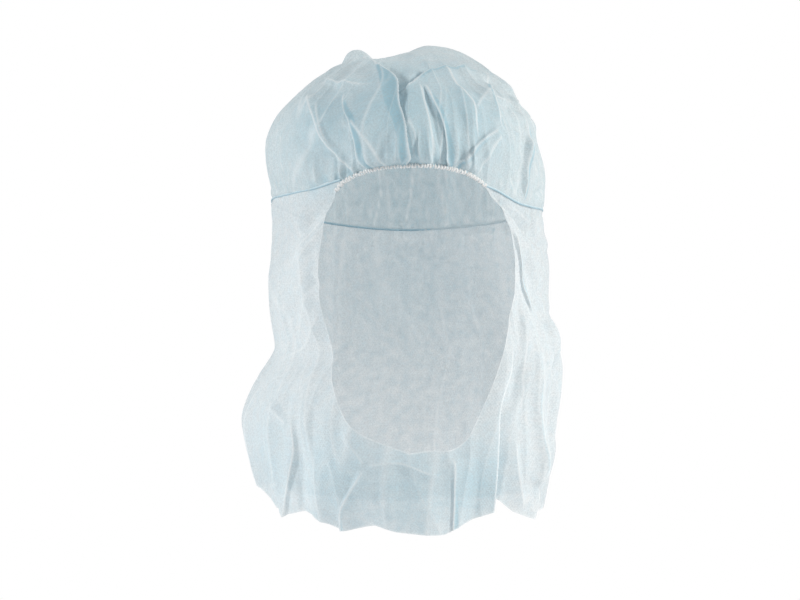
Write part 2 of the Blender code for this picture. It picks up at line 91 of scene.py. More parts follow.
# Shares of a wave over which a wandering crease slopes, and over which its ridge is painted paler as a painted
# highlight
CREASE_REACH = 0.42
CREASE_LINE = 0.035

# Width of the paler band painted along the cut edge of the cloth as a painted highlight, and how far straight
# lines replace the hem's curves
CUT_EDGE = 0.0012
HEM_STRAIGHT = 0.75

# Furthest sideways bow of the drape's threads round the front opening, in degrees
THREAD_BOW = 18.0

# Mesh counts
CROWN_FRONT_COLUMNS = 460
CROWN_BACK_COLUMNS = 210
CROWN_ROWS = 144
OPENING_COLUMNS = 230
SEAM_COLUMNS = 330
DRAPE_ROWS = 122
ELASTIC_STATIONS = 620
WELT_STATIONS = 620
BEAD_SIDES = 10

# Camera
CAMERA_PLACE = (-0.005, -1.800, -0.148)
CAMERA_LENS = 130.3
SENSOR_WIDTH = 36.0

# Pressed points of the nonwoven, in millimetres
PRESS_PITCH_ACROSS = 1.7
PRESS_PITCH_DOWN = 2.4

# The cloth runs this far past the seam's centre line, under the welt or the elastic
RIM_TUCK = 0.0006

# A tip of the crown's cloth that shows below the elastic: drop in metres, turn and half width in degrees
TIP_DROP = 0.0042
TIP_TURN = 0.8
TIP_HALF_WIDTH = 1.4

# A small dark speck on the drape: turn and run
SPECK = (-29.2, 0.810)

# Studio
FLOOR_LEVEL = -0.62
FLOOR_RADIUS = 2.0
FLOOR_GLOW = 0.48
BACKDROP = 1.0

# Soft light of the room: from all sides, and what is added from behind, from the right and above
ROOM_LIGHT = 0.39
ROOM_BEHIND = 0.06
ROOM_RIGHT = 0.05
ROOM_ABOVE = 0.16

# Columns: name, place, target, size, power, colour
LIGHTS = (
    ("key", (1.5, -0.6, 0.45), (0.0, 0.0, -0.15), 0.32, 21.0, (1.0, 0.95, 0.90)),
    ("fill", (-1.5, -0.6, 0.40), (0.0, 0.0, -0.12), 0.40, 15.0, (1.0, 0.99, 0.98)),
)

# Where the cloth looks denser: partly cloth gathered closer, partly painted shade
# Columns: turn, run, share, reach in metres
CROWN_PATCHES = (
    (-4.0, 0.280, 0.72, 0.040),
    (8.0, 0.200, 0.50, 0.034),
    (6.0, 0.350, 0.62, 0.028),
    (-34.0, 0.300, 0.58, 0.034),
    (24.0, 0.290, 0.64, 0.034),
    (-22.9, 0.396, 0.75, 0.005),
    (-28.5, 0.403, 0.70, 0.005),
    (-35.5, 0.409, 0.62, 0.005),
    (-42.0, 0.414, 0.50, 0.005),
    (-41.5, 0.350, 0.45, 0.013),
    (180.0, 0.400, 0.30, 0.060),
)
DRAPE_PATCHES = (
    (2.0, 0.915, 0.60, 0.040),
    (-24.0, 0.900, 0.62, 0.036),
    (27.0, 0.905, 0.74, 0.028),
    (-58.0, 0.880, 0.42, 0.036),
    (-32.9, 0.417, 0.60, 0.005),
    (-40.8, 0.424, 0.45, 0.005),
    (180.0, 0.560, 0.25, 0.050),
)

# Horizontal sections of the plain form, without folds.
# Columns: height below the origin, left, right, front and back reach
# Shares of: HOOD_HEIGHT, HALF_WIDTH, HALF_WIDTH, FRONT_DEPTH, BACK_DEPTH
SECTIONS = (
    (-0.0120, -0.022, 0.022, -0.200, 0.167),
    (-0.0085, 0.256, 0.278, 0.090, 0.417),
    (-0.0020, 0.433, 0.456, 0.290, 0.567),
    (0.014, 0.567, 0.567, 0.460, 0.658),
    (0.037, 0.678, 0.656, 0.610, 0.733),
    (0.080, 0.811, 0.778, 0.820, 0.850),
    (0.122, 0.906, 0.856, 0.960, 0.925),
    (0.169, 0.967, 0.900, 1.030, 0.983),
    (0.203, 0.978, 0.922, 1.035, 1.008),
    (0.233, 0.972, 0.933, 1.000, 1.017),
    (0.270, 0.950, 0.933, 0.970, 1.017),
    (0.331, 0.944, 0.933, 0.950, 1.000),
    (0.416, 0.950, 0.944, 0.950, 0.958),
    (0.500, 0.944, 0.950, 0.950, 0.883),
    (0.557, 0.915, 1.000, 0.950, 0.817),
    (0.608, 0.897, 1.028, 0.950, 0.767),
    (0.669, 1.000, 1.029, 0.950, 0.733),
    (0.750, 1.094, 1.011, 0.940, 0.742),
    (0.834, 1.056, 0.978, 0.910, 0.767),
    (0.895, 1.011, 0.950, 0.860, 0.800),
    (0.986, 0.933, 0.900, 0.785, 0.842),
)

# Front elastic, from its left end to its right end
# Columns: turn, run
ELASTIC_LINE = (
    (-29.5, 0.423),
    (-26.0, 0.410),
    (-21.0, 0.400),
    (-16.0, 0.393),
    (-8.0, 0.3855),
    (0.0, 0.384),
    (6.0, 0.383),
    (13.5, 0.385),
    (20.0, 0.390),
    (25.0, 0.396),
    (29.5, 0.406),
    (32.8, 0.415),
)

# Seam from the right end of the elastic round the back to its left end
# Columns: turn, run
SEAM_LINE = (
    (32.2, 0.4135),
    (39.0, 0.4215),
    (45.0, 0.431),
    (52.0, 0.440),
    (62.0, 0.445),
    (82.0, 0.447),
    (110.0, 0.452),
    (145.0, 0.466),
    (180.0, 0.474),
    (215.0, 0.464),
    (250.0, 0.442),
    (270.0, 0.433),
    (285.5, 0.428),
    (298.5, 0.426),
    (310.5, 0.422),
    (319.5, 0.418),
    (328.5, 0.4095),
    (332.7, 0.4055),
)

# Edge of the front opening from its lowest point up to the right end of the elastic, and to the left
# Columns: turn, run
OPENING_RIGHT = (
    (2.5, 0.851),
    (11.5, 0.847),
    (18.5, 0.845),
    (23.0, 0.832),
    (26.5, 0.802),
    (30.5, 0.742),
    (34.0, 0.691),
    (40.5, 0.641),
    (47.0, 0.584),
    (48.2, 0.540),
    (47.0, 0.504),
    (42.5, 0.464),
    (36.6, 0.436),
    (32.6, 0.4160),
)
OPENING_LEFT = (
    (2.5, 0.851),
    (-6.0, 0.836),
    (-13.5, 0.821),
    (-19.5, 0.800),
    (-26.5, 0.759),
    (-33.0, 0.719),
    (-38.0, 0.672),
    (-39.3, 0.613),
    (-39.2, 0.549),
    (-38.0, 0.505),
    (-36.5, 0.471),
    (-33.3, 0.443),
    (-29.8, 0.4240),
    (-27.0, 0.4105),
)

# Hem, once round from the back
# Columns: turn, run
HEM_LINE = (
    (-180.0, 0.966),
    (-150.0, 0.958),
    (-120.0, 0.940),
    (-100.0, 0.922),
    (-86.0, 0.914),
    (-73.5, 0.924),
    (-65.0, 0.952),
    (-56.5, 0.961),
    (-44.5, 0.954),
    (-32.0, 0.969),
    (-26.0, 0.983),
    (-12.0, 0.973),
    (-3.5, 0.983),
    (16.0, 0.989),
    (23.5, 0.978),
    (31.0, 0.961),
    (37.0, 0.950),
    (40.5, 0.934),
    (50.5, 0.957),
    (62.0, 0.969),
    (79.0, 0.964),
    (92.0, 0.950),
    (120.0, 0.945),
    (150.0, 0.957),
    (180.0, 0.966),
)

# Where a thread of the drape that starts on the opening or the seam meets the hem
# Columns: share of the opening's edge from its lowest point up, turn at the hem, bow share
OPENING_THREADS = (
    (0.00, 0.0, 0.0),
    (0.12, 15.0, 0.0),
    (0.30, 32.0, 0.05),
    (0.55, 48.0, 0.20),
    (0.75, 61.0, 0.50),
    (1.00, 80.0, 1.0),
)

# Columns: share of the seam from its right end to its left end, turn at the hem, bow share
SEAM_THREADS = (
    (0.00, 80.0, 1.0),
    (0.12, 98.0, 0.70),
    (0.30, 130.0, 0.20),
    (0.50, 180.0, 0.0),
    (0.70, 230.0, -0.20),
    (0.88, 262.0, -0.70),
    (1.00, 280.0, -1.0),
)

# Puffs of the loose crown
# Columns: turn, run, rise as a share of PUFF_RISE, reach as a share of PUFF_REACH
PUFFS = (
    (-74.0, 0.104, 1.02, 0.26),
    (-84.0, 0.145, -0.38, 0.22),
    (-24.0, 0.118, -0.42, 0.40),
    (75.0, 0.045, 0.86, 0.62),
    (85.0, 0.250, -0.18, 0.85),
    (-10.0, 0.330, 0.35, 0.80),
    (35.0, 0.330, 0.30, 0.55),
    (-80.0, 0.200, -0.30, 0.80),
    (110.0, 0.300, 0.30, 0.90),
    (-150.0, 0.300, 0.40, 1.00),
    (165.0, 0.380, 0.35, 0.80),
    (-82.0, 0.050, -0.72, 0.36),
)

# Folds of the crown. A crest has a positive rise and a valley a negative one, and a crest that
# leans further than its steep side is wide laps over the cloth beside it.
# Columns: places from the top down as turns and runs, rise as a share of FOLD_RISE,
# width to the left and to the right of the line as shares of FOLD_SPREAD,
# shares of the line over which the fold grows at its start and fades at its end,
# lean to the right at the start and at the end as shares of FOLD_LEAN
CROWN_FOLDS = (
    (((-60.0, 0.112), (-41.0, 0.127), (-20.4, 0.172), (-15.2, 0.200)), 0.30, 0.50, 0.14, 0.35, 0.30, 0.0, 0.0),
    (((-20.4, 0.172), (-14.8, 0.212), (-11.4, 0.250), (-7.6, 0.290), (-3.8, 0.320), (-1.8, 0.353),
      (-0.8, 0.382)), 0.36, 0.55, 0.10, 0.12, 0.0, 1.50, 0.40),
    (((-31.1, 0.249), (-25.6, 0.280), (-20.0, 0.309), (-15.4, 0.356), (-13.4, 0.391)),
     0.20, 0.08, 0.45, 0.15, 0.0, -0.45, -0.40),
    (((-20.5, 0.302), (-15.1, 0.330), (-11.0, 0.354), (-7.1, 0.388)), 0.20, 0.20, 0.30, 0.15, 0.0, 0.0, 0.0),
    (((-56.4, 0.240), (-42.2, 0.292), (-35.1, 0.330), (-30.6, 0.356), (-24.9, 0.378), (-21.4, 0.392)),
     0.24, 0.30, 0.15, 0.20, 0.0, 0.0, 0.0),
    (((-43.4, 0.267), (-36.4, 0.312), (-32.0, 0.341), (-28.6, 0.361)), 0.16, 0.12, 0.40, 0.25, 0.25, 0.0, 0.0),
    (((-51.8, 0.316), (-42.8, 0.346), (-32.9, 0.368), (-25.6, 0.387)), -0.34, 0.35, 0.30, 0.25, 0.15, 0.0, 0.0),
    (((-66.0, 0.300), (-60.0, 0.350), (-57.0, 0.400)), 0.18, 0.30, 0.25, 0.30, 0.20, 0.0, 0.0),
    (((7.1, 0.232), (8.5, 0.278), (10.2, 0.316), (11.1, 0.343), (11.4, 0.361), (9.4, 0.385)),
     0.20, 0.35, 0.10, 0.12, 0.0, 0.0, 0.0),
    (((8.8, 0.232), (11.8, 0.257), (16.1, 0.299), (18.2, 0.326), (18.8, 0.355), (18.1, 0.388)),
     0.24, 0.08, 0.35, 0.12, 0.0, -0.30, -0.40),
    (((-54.0, 0.203), (-45.0, 0.216), (-30.0, 0.230), (-17.5, 0.236)), 0.26, 0.15, 0.50, 0.35, 0.25, 0.0, 0.0),
    (((-3.2, 0.253), (1.9, 0.240), (7.2, 0.223), (13.5, 0.205), (22.8, 0.189), (38.2, 0.182), (57.0, 0.180)),
     0.34, 0.50, 0.10, 0.12, 0.30, 0.36, 0.20),
    (((-12.0, 0.150), (18.0, 0.135), (50.0, 0.135)), -0.16, 0.40, 0.40, 0.30, 0.30, 0.0, 0.0),
    (((24.5, 0.186), (25.5, 0.250), (29.8, 0.294), (29.4, 0.312), (30.8, 0.348)),
     0.22, 0.25, 0.40, 0.12, 0.20, 0.0, 0.0),
    (((29.8, 0.294), (39.0, 0.253), (46.2, 0.229)), 0.16, 0.20, 0.20, 0.10, 0.20, 0.0, 0.0),
    (((57.6, 0.183), (43.8, 0.246), (41.0, 0.285), (40.4, 0.315), (44.0, 0.331), (45.5, 0.345)),
     0.26, 0.40, 0.12, 0.12, 0.25, 0.30, 0.15),
    (((40.1, 0.322), (35.2, 0.339), (27.9, 0.361), (21.1, 0.387)), 0.22, 0.12, 0.40, 0.15, 0.0, -0.20, -0.30),
    (((41.0, 0.332), (34.4, 0.363), (28.9, 0.393)), 0.20, 0.15, 0.30, 0.15, 0.0, 0.0, 0.0),
    (((45.2, 0.246), (53.9, 0.259), (64.9, 0.275)), 0.18, 0.20, 0.35, 0.25, 0.35, 0.0, 0.0),
    (((49.8, 0.301), (55.9, 0.326), (57.9, 0.355), (53.6, 0.403)), -0.26, 0.15, 0.35, 0.20, 0.20, 0.0, 0.0),
    (((64.0, 0.290), (60.0, 0.350), (56.0, 0.390), (51.5, 0.435)), -0.34, 0.40, 0.20, 0.25, 0.05, 0.0, 0.0),
    (((66.0, 0.280), (63.0, 0.345), (59.0, 0.390), (56.0, 0.438)), 0.20, 0.15, 0.40, 0.25, 0.05, -0.25, -0.25),
    (((78.0, 0.250), (80.0, 0.330), (74.0, 0.440)), 0.26, 0.50, 0.40, 0.30, 0.05, 0.0, 0.0),
    (((100.0, 0.180), (104.0, 0.300), (100.0, 0.450)), -0.28, 0.50, 0.50, 0.35, 0.05, 0.0, 0.0),
    (((112.0, 0.250), (115.0, 0.340), (111.0, 0.455)), 0.24, 0.40, 0.14, 0.30, 0.0, 0.10, 0.12),
    (((128.0, 0.260), (125.0, 0.360), (130.0, 0.460)), 0.26, 0.45, 0.35, 0.35, 0.05, 0.0, 0.0),
    (((150.0, 0.300), (155.0, 0.380), (152.0, 0.466)), -0.28, 0.45, 0.45, 0.35, 0.05, 0.0, 0.0),
    (((163.0, 0.310), (166.0, 0.380), (163.0, 0.470)), 0.24, 0.12, 0.45, 0.30, 0.0, -0.10, -0.12),
    (((178.0, 0.240), (176.0, 0.350), (181.0, 0.470)), 0.30, 0.50, 0.45, 0.35, 0.05, 0.0, 0.0),
    (((-168.0, 0.320), (-170.0, 0.390), (-166.0, 0.470)), 0.22, 0.40, 0.12, 0.30, 0.0, 0.10, 0.12),
    (((-156.0, 0.290), (-152.0, 0.380), (-157.0, 0.466)), -0.28, 0.45, 0.45, 0.35, 0.05, 0.0, 0.0),
    (((-130.0, 0.240), (-133.0, 0.340), (-127.0, 0.450)), 0.30, 0.45, 0.45, 0.35, 0.05, 0.0, 0.0),
    (((-116.0, 0.280), (-113.0, 0.360), (-117.0, 0.448)), 0.22, 0.14, 0.40, 0.30, 0.0, -0.10, -0.12),
    (((-104.0, 0.190), (-106.0, 0.320), (-101.0, 0.437)), -0.26, 0.50, 0.45, 0.35, 0.05, 0.0, 0.0),
    (((-84.0, 0.270), (-78.0, 0.340), (-82.0, 0.430)), 0.14, 0.50, 0.40, 0.40, 0.05, 0.0, 0.0),
    (((120.0, 0.090), (118.0, 0.200)), 0.20, 0.40, 0.40, 0.40, 0.40, 0.0, 0.0),
    (((170.0, 0.060), (174.0, 0.180)), -0.20, 0.40, 0.40, 0.40, 0.40, 0.0, 0.0),
    (((-130.0, 0.080), (-126.0, 0.190)), 0.20, 0.40, 0.40, 0.40, 0.40, 0.0, 0.0),
)

# Folds of the drape, in the same columns
DRAPE_FOLDS = (
    (((34.4, 0.421), (40.9, 0.442), (52.4, 0.468), (64.8, 0.498), (81.6, 0.519)),
     -0.46, 0.12, 0.40, 0.05, 0.30, 0.0, 0.0),
    (((33.4, 0.427), (39.1, 0.451), (44.8, 0.470)), 0.18, 0.15, 0.15, 0.10, 0.40, 0.0, 0.0),
    (((44.0, 0.445), (55.0, 0.456), (68.0, 0.482)), 0.16, 0.22, 0.22, 0.10, 0.40, 0.0, 0.0),
    (((57.5, 0.663), (59.8, 0.736), (60.9, 0.825), (68.8, 0.941)), 0.28, 0.15, 0.40, 0.30, 0.20, 0.15, 0.15),
    (((46.9, 0.823), (50.1, 0.891), (54.9, 0.951)), 0.18, 0.30, 0.12, 0.30, 0.10, 0.0, 0.0),
    (((-37.0, 0.487), (-43.5, 0.509), (-50.6, 0.552)), 0.14, 0.20, 0.20, 0.30, 0.30, 0.0, 0.0),
    (((-43.5, 0.586), (-51.2, 0.636), (-56.8, 0.680)), 0.14, 0.20, 0.25, 0.30, 0.30, 0.0, 0.0),
    (((-35.4, 0.756), (-33.8, 0.821), (-35.8, 0.899)), -0.16, 0.30, 0.30, 0.35, 0.35, 0.0, 0.0),
    (((47.0, 0.478), (51.5, 0.524), (56.0, 0.584), (58.5, 0.646)), 0.30, 0.10, 0.45, 0.15, 0.25, -0.20, -0.25),
    (((77.5, 0.472), (72.0, 0.506)), 0.18, 0.20, 0.20, 0.30, 0.30, 0.0, 0.0),
    (((84.0, 0.539), (76.0, 0.560), (68.0, 0.574)), 0.18, 0.20, 0.20, 0.30, 0.30, 0.0, 0.0),
    (((40.0, 0.655), (37.2, 0.729), (35.0, 0.766), (35.2, 0.829), (35.8, 0.880), (36.0, 0.990)),
     0.50, 0.65, 0.10, 0.20, 0.0, 0.10, 0.16),
    (((43.5, 0.665), (41.5, 0.729), (39.5, 0.766), (39.8, 0.829), (40.2, 0.880), (40.5, 0.990)),
     -0.85, 0.10, 0.80, 0.20, 0.0, 0.0, 0.0),
    (((47.5, 0.652), (49.5, 0.700), (51.0, 0.790)), 0.20, 0.20, 0.30, 0.30, 0.35, 0.0, 0.0),
    (((62.0, 0.690), (65.0, 0.820), (62.0, 0.985)), 0.34, 0.50, 0.50, 0.40, 0.0, 0.0, 0.0),
    (((72.0, 0.620), (76.0, 0.760), (74.0, 0.985)), -0.26, 0.30, 0.40, 0.40, 0.0, 0.0, 0.0),
    (((-31.0, 0.428), (-43.5, 0.478), (-62.0, 0.540)), -0.18, 0.25, 0.25, 0.08, 0.40, 0.0, 0.0),
    (((-33.0, 0.450), (-45.0, 0.500), (-58.0, 0.560)), 0.14, 0.22, 0.22, 0.10, 0.40, 0.0, 0.0),
    (((-39.0, 0.562), (-50.0, 0.606), (-68.5, 0.653)), -0.20, 0.30, 0.30, 0.10, 0.35, 0.0, 0.0),
    (((-40.0, 0.620), (-52.0, 0.680), (-72.0, 0.705)), 0.20, 0.30, 0.35, 0.15, 0.35, 0.0, 0.0),
    (((-45.4, 0.784), (-44.5, 0.837), (-49.5, 0.901), (-58.4, 0.967)), 0.26, 0.35, 0.12, 0.25, 0.0, 0.12, 0.15),
    (((-40.0, 0.800), (-41.0, 0.860), (-48.0, 0.990)), -0.26, 0.30, 0.50, 0.35, 0.0, 0.0, 0.0),
    (((-62.0, 0.768), (-54.0, 0.792), (-46.5, 0.810)), 0.16, 0.18, 0.18, 0.20, 0.15, 0.0, 0.0),
    (((-64.0, 0.840), (-62.0, 0.900), (-64.5, 0.990)), -0.32, 0.45, 0.30, 0.40, 0.0, 0.0, 0.0),
    (((-70.0, 0.915), (-62.0, 0.912), (-54.0, 0.905)), 0.14, 0.20, 0.20, 0.30, 0.30, 0.0, 0.0),
    (((-76.0, 0.710), (-82.0, 0.760), (-82.0, 0.850), (-78.0, 0.980)), 0.22, 0.45, 0.50, 0.35, 0.0, 0.0, 0.0),
    (((-21.0, 0.812), (-17.0, 0.845), (-13.5, 0.871)), 0.11, 0.12, 0.30, 0.15, 0.10, 0.0, 0.0),
    (((-13.5, 0.871), (-1.5, 0.867), (9.5, 0.885), (17.0, 0.897)), 0.12, 0.20, 0.40, 0.12, 0.30, 0.0, 0.0),
    (((-13.5, 0.871), (-18.5, 0.910), (-24.0, 0.949), (-26.0, 0.990)), 0.20, 0.10, 0.60, 0.20, 0.0, -0.12, -0.20),
    (((18.6, 0.858), (20.8, 0.905), (22.5, 0.990)), 0.24, 0.14, 0.45, 0.08, 0.0, -0.10, -0.42),
    (((30.0, 0.860), (29.0, 0.985)), -0.18, 0.30, 0.40, 0.50, 0.0, 0.0, 0.0),
    (((95.0, 0.560), (98.0, 0.750), (96.0, 0.985)), -0.62, 0.55, 0.60, 0.45, 0.0, 0.0, 0.0),
    (((118.0, 0.520), (121.0, 0.740), (119.0, 0.985)), 0.62, 0.60, 0.45, 0.45, 0.0, 0.0, 0.12),
    (((141.0, 0.560), (143.0, 0.750), (144.0, 0.985)), -0.62, 0.60, 0.60, 0.45, 0.0, 0.0, 0.0),
    (((168.0, 0.520), (166.0, 0.740), (169.0, 0.985)), 0.62, 0.65, 0.60, 0.45, 0.0, 0.0, 0.0),
    (((-168.0, 0.570), (-165.0, 0.750), (-166.0, 0.985)), -0.58, 0.55, 0.60, 0.45, 0.0, 0.0, 0.0),
    (((-146.0, 0.530), (-142.0, 0.740), (-144.0, 0.985)), 0.62, 0.45, 0.60, 0.45, 0.0, 0.0, -0.12),
    (((-122.0, 0.560), (-119.0, 0.750), (-121.0, 0.985)), -0.58, 0.55, 0.60, 0.45, 0.0, 0.0, 0.0),
    (((-104.0, 0.540), (-99.0, 0.740), (-100.0, 0.985)), 0.50, 0.55, 0.55, 0.45, 0.0, 0.0, 0.0),
    (((150.0, 0.490), (175.0, 0.530), (-160.0, 0.500)), -0.40, 0.60, 0.50, 0.35, 0.35, 0.0, 0.0),
)


def smooth_table(at, stations, values):
    """Values of a table at some stations, joined by smooth curves through its rows."""
    slopes = np.gradient(values, stations, axis=0)
    index = np.clip(np.searchsorted(stations, at, side="right") - 1, 0, len(stations) - 2)
    span = stations[index + 1] - stations[index]
    t = ((at - stations[index]) / span)[..., None]
    span = span[..., None]
    start = (2 * t**3 - 3 * t**2 + 1) * values[index] + (t**3 - 2 * t**2 + t) * span * slopes[index]
    end = (3 * t**2 - 2 * t**3) * values[index + 1] + (t**3 - t**2) * span * slopes[index + 1]
    return start + end


def section_table():
    """Runs and sizes in metres of the sections, and the length of the whole meridian."""
    sizes = np.array((-HOOD_HEIGHT, HALF_WIDTH, HALF_WIDTH, FRONT_DEPTH, BACK_DEPTH))
    sections = np.array(SECTIONS) * sizes
    reach = sections[:, 1:].mean(axis=1)
    steps = np.hypot(np.diff(sections[:, 0]), np.diff(reach))
    runs = np.concatenate(([0.0], np.cumsum(steps)))
    return runs / runs[-1], sections, runs[-1]


RUNS, SECTION_SIZES, MERIDIAN = section_table()


def plain_form(turn, run):
    """Points of the plain form at turns in degrees and runs."""
    turn, run = np.broadcast_arrays(np.asarray(turn, float), np.asarray(run, float))
    height, left, right, front, back = np.moveaxis(smooth_table(run, RUNS, SECTION_SIZES), -1, 0)
    angle = np.radians(turn)
    across = (right - left) / 2 + (right + left) / 2 * np.sin(angle)
    deep = (back - front) / 2 - (back + front) / 2 * np.cos(angle)
    return np.stack((across, deep, height), axis=-1)


def plain_normal(turn, run):
    """Outward directions of the plain form."""
    small_turn = 0.5
    small_run = 0.002
    run = np.clip(run, small_run, 1 - small_run)
    along = plain_form(turn + small_turn, run) - plain_form(turn - small_turn, run)
    down = plain_form(turn, run + small_run) - plain_form(turn, run - small_run)
    normal = np.cross(along, -down)
    return normal / np.linalg.norm(normal, axis=-1, keepdims=True)


def smooth_line(rows, shares):
    """Places at shares of the length of a line given by its rows."""
    places = np.array(rows, float)
    points = plain_form(places[:, 0], places[:, 1])
    lengths = np.concatenate(([0.0], np.cumsum(np.linalg.norm(np.diff(points, axis=0), axis=1))))
    return smooth_table(np.asarray(shares, float) * lengths[-1], lengths, places)


def growth(share, over):
    """0 at the start of a line and 1 from the share where the fold is fully grown."""
    if over <= 0:
        return np.ones_like(share)
    t = np.clip(share / over, 0, 1)
    return t * t * (3 - 2 * t)


class Sheet:
    """Cloth on the plain form, with the height and the sideways lean that its folds give it."""

    def __init__(self, turn, run):
        self.shape = turn.shape
        self.turn = turn.reshape(-1)
        self.run = run.reshape(-1)
        self.points = plain_form(self.turn, self.run)
        self.normals = plain_normal(self.turn, self.run)
        self.height = np.zeros(len(self.points))
        self.shift = np.zeros_like(self.points)
        self.crest = np.zeros(len(self.points))
        self.layers = np.zeros(len(self.points))

    def fold(self, places, rise, left, right, grow=0.3, fade=0.3, lean=(0.0, 0.0), power=FOLD_POWER,
             pressed=1.0):
        """Adds a fold along a line. Rise, widths and lean are in metres."""
        bends = 4 * (len(places) - 1) + 1
        line = smooth_line(places, np.linspace(0, 1, bends))
        line = plain_form(line[:, 0], line[:, 1])
        steps = np.diff(line, axis=0)
        lengths = np.linalg.norm(steps, axis=1)
        middle = (line.min(axis=0) + line.max(axis=0)) / 2
        reach = np.linalg.norm(line - middle, axis=1).max() + max(left, right)
        near = np.flatnonzero(((self.points - middle) ** 2).sum(axis=1) < reach**2)
        if not len(near):
            return
        offsets = self.points[near][:, None, :] - line[:-1][None, :, :]
        t = np.clip((offsets * steps).sum(-1) / lengths**2, 0, 1)
        gaps = offsets - t[..., None] * steps
        nearest = np.linalg.norm(gaps, axis=-1).argmin(axis=1)
        pick = np.arange(len(near))
        gap = gaps[pick, nearest]
        distance = np.linalg.norm(gap, axis=1)
        towards_right = np.cross(self.normals[near], steps[nearest])
        towards_right /= np.linalg.norm(towards_right, axis=1, keepdims=True)
        side = (gap * towards_right).sum(-1)
        width = np.where(side > 0, right, left)
        passed = np.concatenate(([0.0], np.cumsum(lengths)))
        share = (passed[nearest] + t[pick, nearest] * lengths[nearest]) / passed[-1]
        ends = growth(share, grow) * growth(1 - share, fade)
        past_edge = np.clip(distance - FOLD_EDGE, 0, None)
        wall = np.clip(1 - past_edge / (width - FOLD_EDGE), 0, 1)
        self.height[near] += rise * wall**power * ends
        lean = (lean[0] + (lean[1] - lean[0]) * share) * growth(share, LEAN_GROW)
        steep = np.where((side > 0) == (lean > 0), wall, wall**power)
        self.shift[near] += towards_right * (lean * steep * ends)[:, None]
        # The paler line along the crest is painted highlight, stronger for taller and more pressed folds
        pressed *= np.clip(rise / FULL_MARK_RISE, 0.1, 1)
        mark = np.clip(1 - distance / CREASE_MARK, 0, 1) * ends * pressed
        self.crest[near] = np.maximum(self.crest[near], mark)
        # Cloth under a lap gets a band of the lapped colour, partly denser cloth and partly painted shade under
        # the lap
        lap = np.abs(lean)
        under = ((side > 0) != (lean > 0)) * growth(lap, 2 * LAP_LEAST)
        band = np.clip(0.5 + (lap * steep - distance) / LAP_SOFT, 0, 1) * under * ends
        self.layers[near] = np.maximum(self.layers[near], band)

    def patches(self, patches):
        # Each patch is partly cloth gathered closer and partly painted shade
        for turn, run, share, reach in patches:
            distance = np.linalg.norm(self.points - plain_form(turn, run), axis=1)
            self.layers = np.maximum(self.layers, share * np.exp(-((distance / reach) ** 2)))

    def charted_folds(self, folds):
        for places, rise, left, right, grow, fade, lean, last_lean in folds:
            self.fold(places, rise * FOLD_RISE, left * FOLD_SPREAD, right * FOLD_SPREAD,
                      grow, fade, (lean * FOLD_LEAN, last_lean * FOLD_LEAN))

    def crumples(self, seed, count, turns, runs, lengths, rises, widths):
        """Short straight creases in chance places, as thin pressed cloth has."""
        chance = np.random.default_rng(seed)
        for _ in range(count):
            turn = chance.uniform(*turns)
            run = chance.uniform(*runs)
            half = chance.uniform(*lengths) / 2
            heading = chance.normal(0, 0.75)
            ring = np.linalg.norm(plain_form(turn + 1, run) - plain_form(turn - 1, run)) / 2
            across = half * math.sin(heading) / max(ring, 0.0004)
            down = half * math.cos(heading) / MERIDIAN
            places = ((turn - across, max(run - down, 0.004)), (turn + across, min(run + down, 0.998)))
            rise = chance.uniform(*rises) * chance.choice((-1, 1))
            left, right = chance.uniform(*widths, size=2)
            self.fold(places, rise, left, right, 0.5, 0.5, power=1.0, pressed=0.0)

    def gathers(self, seed, line, spacing, above, lengths, rises, widths):
        """Small folds that start on a line of stitches and run up or down from it."""
        chance = np.random.default_rng(seed)
        points = plain_form(*np.array(line).T)
        total = np.linalg.norm(np.diff(points, axis=0), axis=1).sum()
        count = int(total / spacing)
        shares = (np.arange(count) + chance.uniform(0.1, 0.9, count)) / count
        for turn, run in smooth_line(line, shares):
            length = chance.uniform(*lengths) / MERIDIAN
            end = run - length if above else run + length
            start = run - 0.004 if above else run + 0.004
            sway = chance.normal(0, 1.5)
            rise = chance.uniform(*rises) * chance.choice((-0.6, 1))
            left, right = chance.uniform(*widths, size=2)
            lean = GATHER_LEAN * chance.uniform(-1, 1)
            places = ((turn, start), (turn + sway, end))
            self.fold(places, rise, left, right, 0.12, 0.75, (lean, 0.0), 1.2, 0.5)

    def creases(self, place, across, down, rise, mark, start=0.0, end=0.1):
        """Long wandering creases down the cloth, with flat facets between them.

        place tells one set of creases from another, across and down are its wavelengths in metres,
        and the creases grow between the runs start and end.
        """
        angle = np.radians(self.turn)
        round_ring = HALF_WIDTH / across
        spots = np.stack((round_ring * np.sin(angle), round_ring * np.cos(angle),
                          self.run * MERIDIAN / down), axis=1) + place
        bends = np.array([noise.noise(Vector(spot)) for spot in spots * 0.6])
        spots[:, 0] += 0.5 * bends
        spots[:, 2] += 0.3 * bends
        wave = np.abs(np.array([noise.noise(Vector(spot)) for spot in spots]))
        grown = growth(self.run - start, end - start)
        self.height += rise * (np.clip(1 - wave / CREASE_REACH, 0, 1) ** 1.2 - 0.4) * grown
        # A paler line along each crease's ridge: painted highlight
        line = np.clip(1 - wave / CREASE_LINE, 0, 1) * mark * grown
        self.crest = np.maximum(self.crest, line)

    def sway(self, seed, rise, wavelength, count=14):
        """Slow uneven swelling, so that no stretch of cloth is a perfect oval."""
        chance = np.random.default_rng(seed)
        for _ in range(count):
            heading = chance.normal(size=3)
            heading /= np.linalg.norm(heading)
            waves = 2 * math.pi / chance.uniform(0.7 * wavelength, 1.5 * wavelength)
            phase = chance.uniform(0, 2 * math.pi)
            self.height += rise / math.sqrt(count) * np.sin(self.points @ heading * waves + phase)

    def puffs(self, puffs):
        for turn, run, rise, reach in puffs:
            distance = np.linalg.norm(self.points - plain_form(turn, run), axis=1)
            self.height += rise * PUFF_RISE * np.exp(-((distance / (reach * PUFF_REACH)) ** 3))

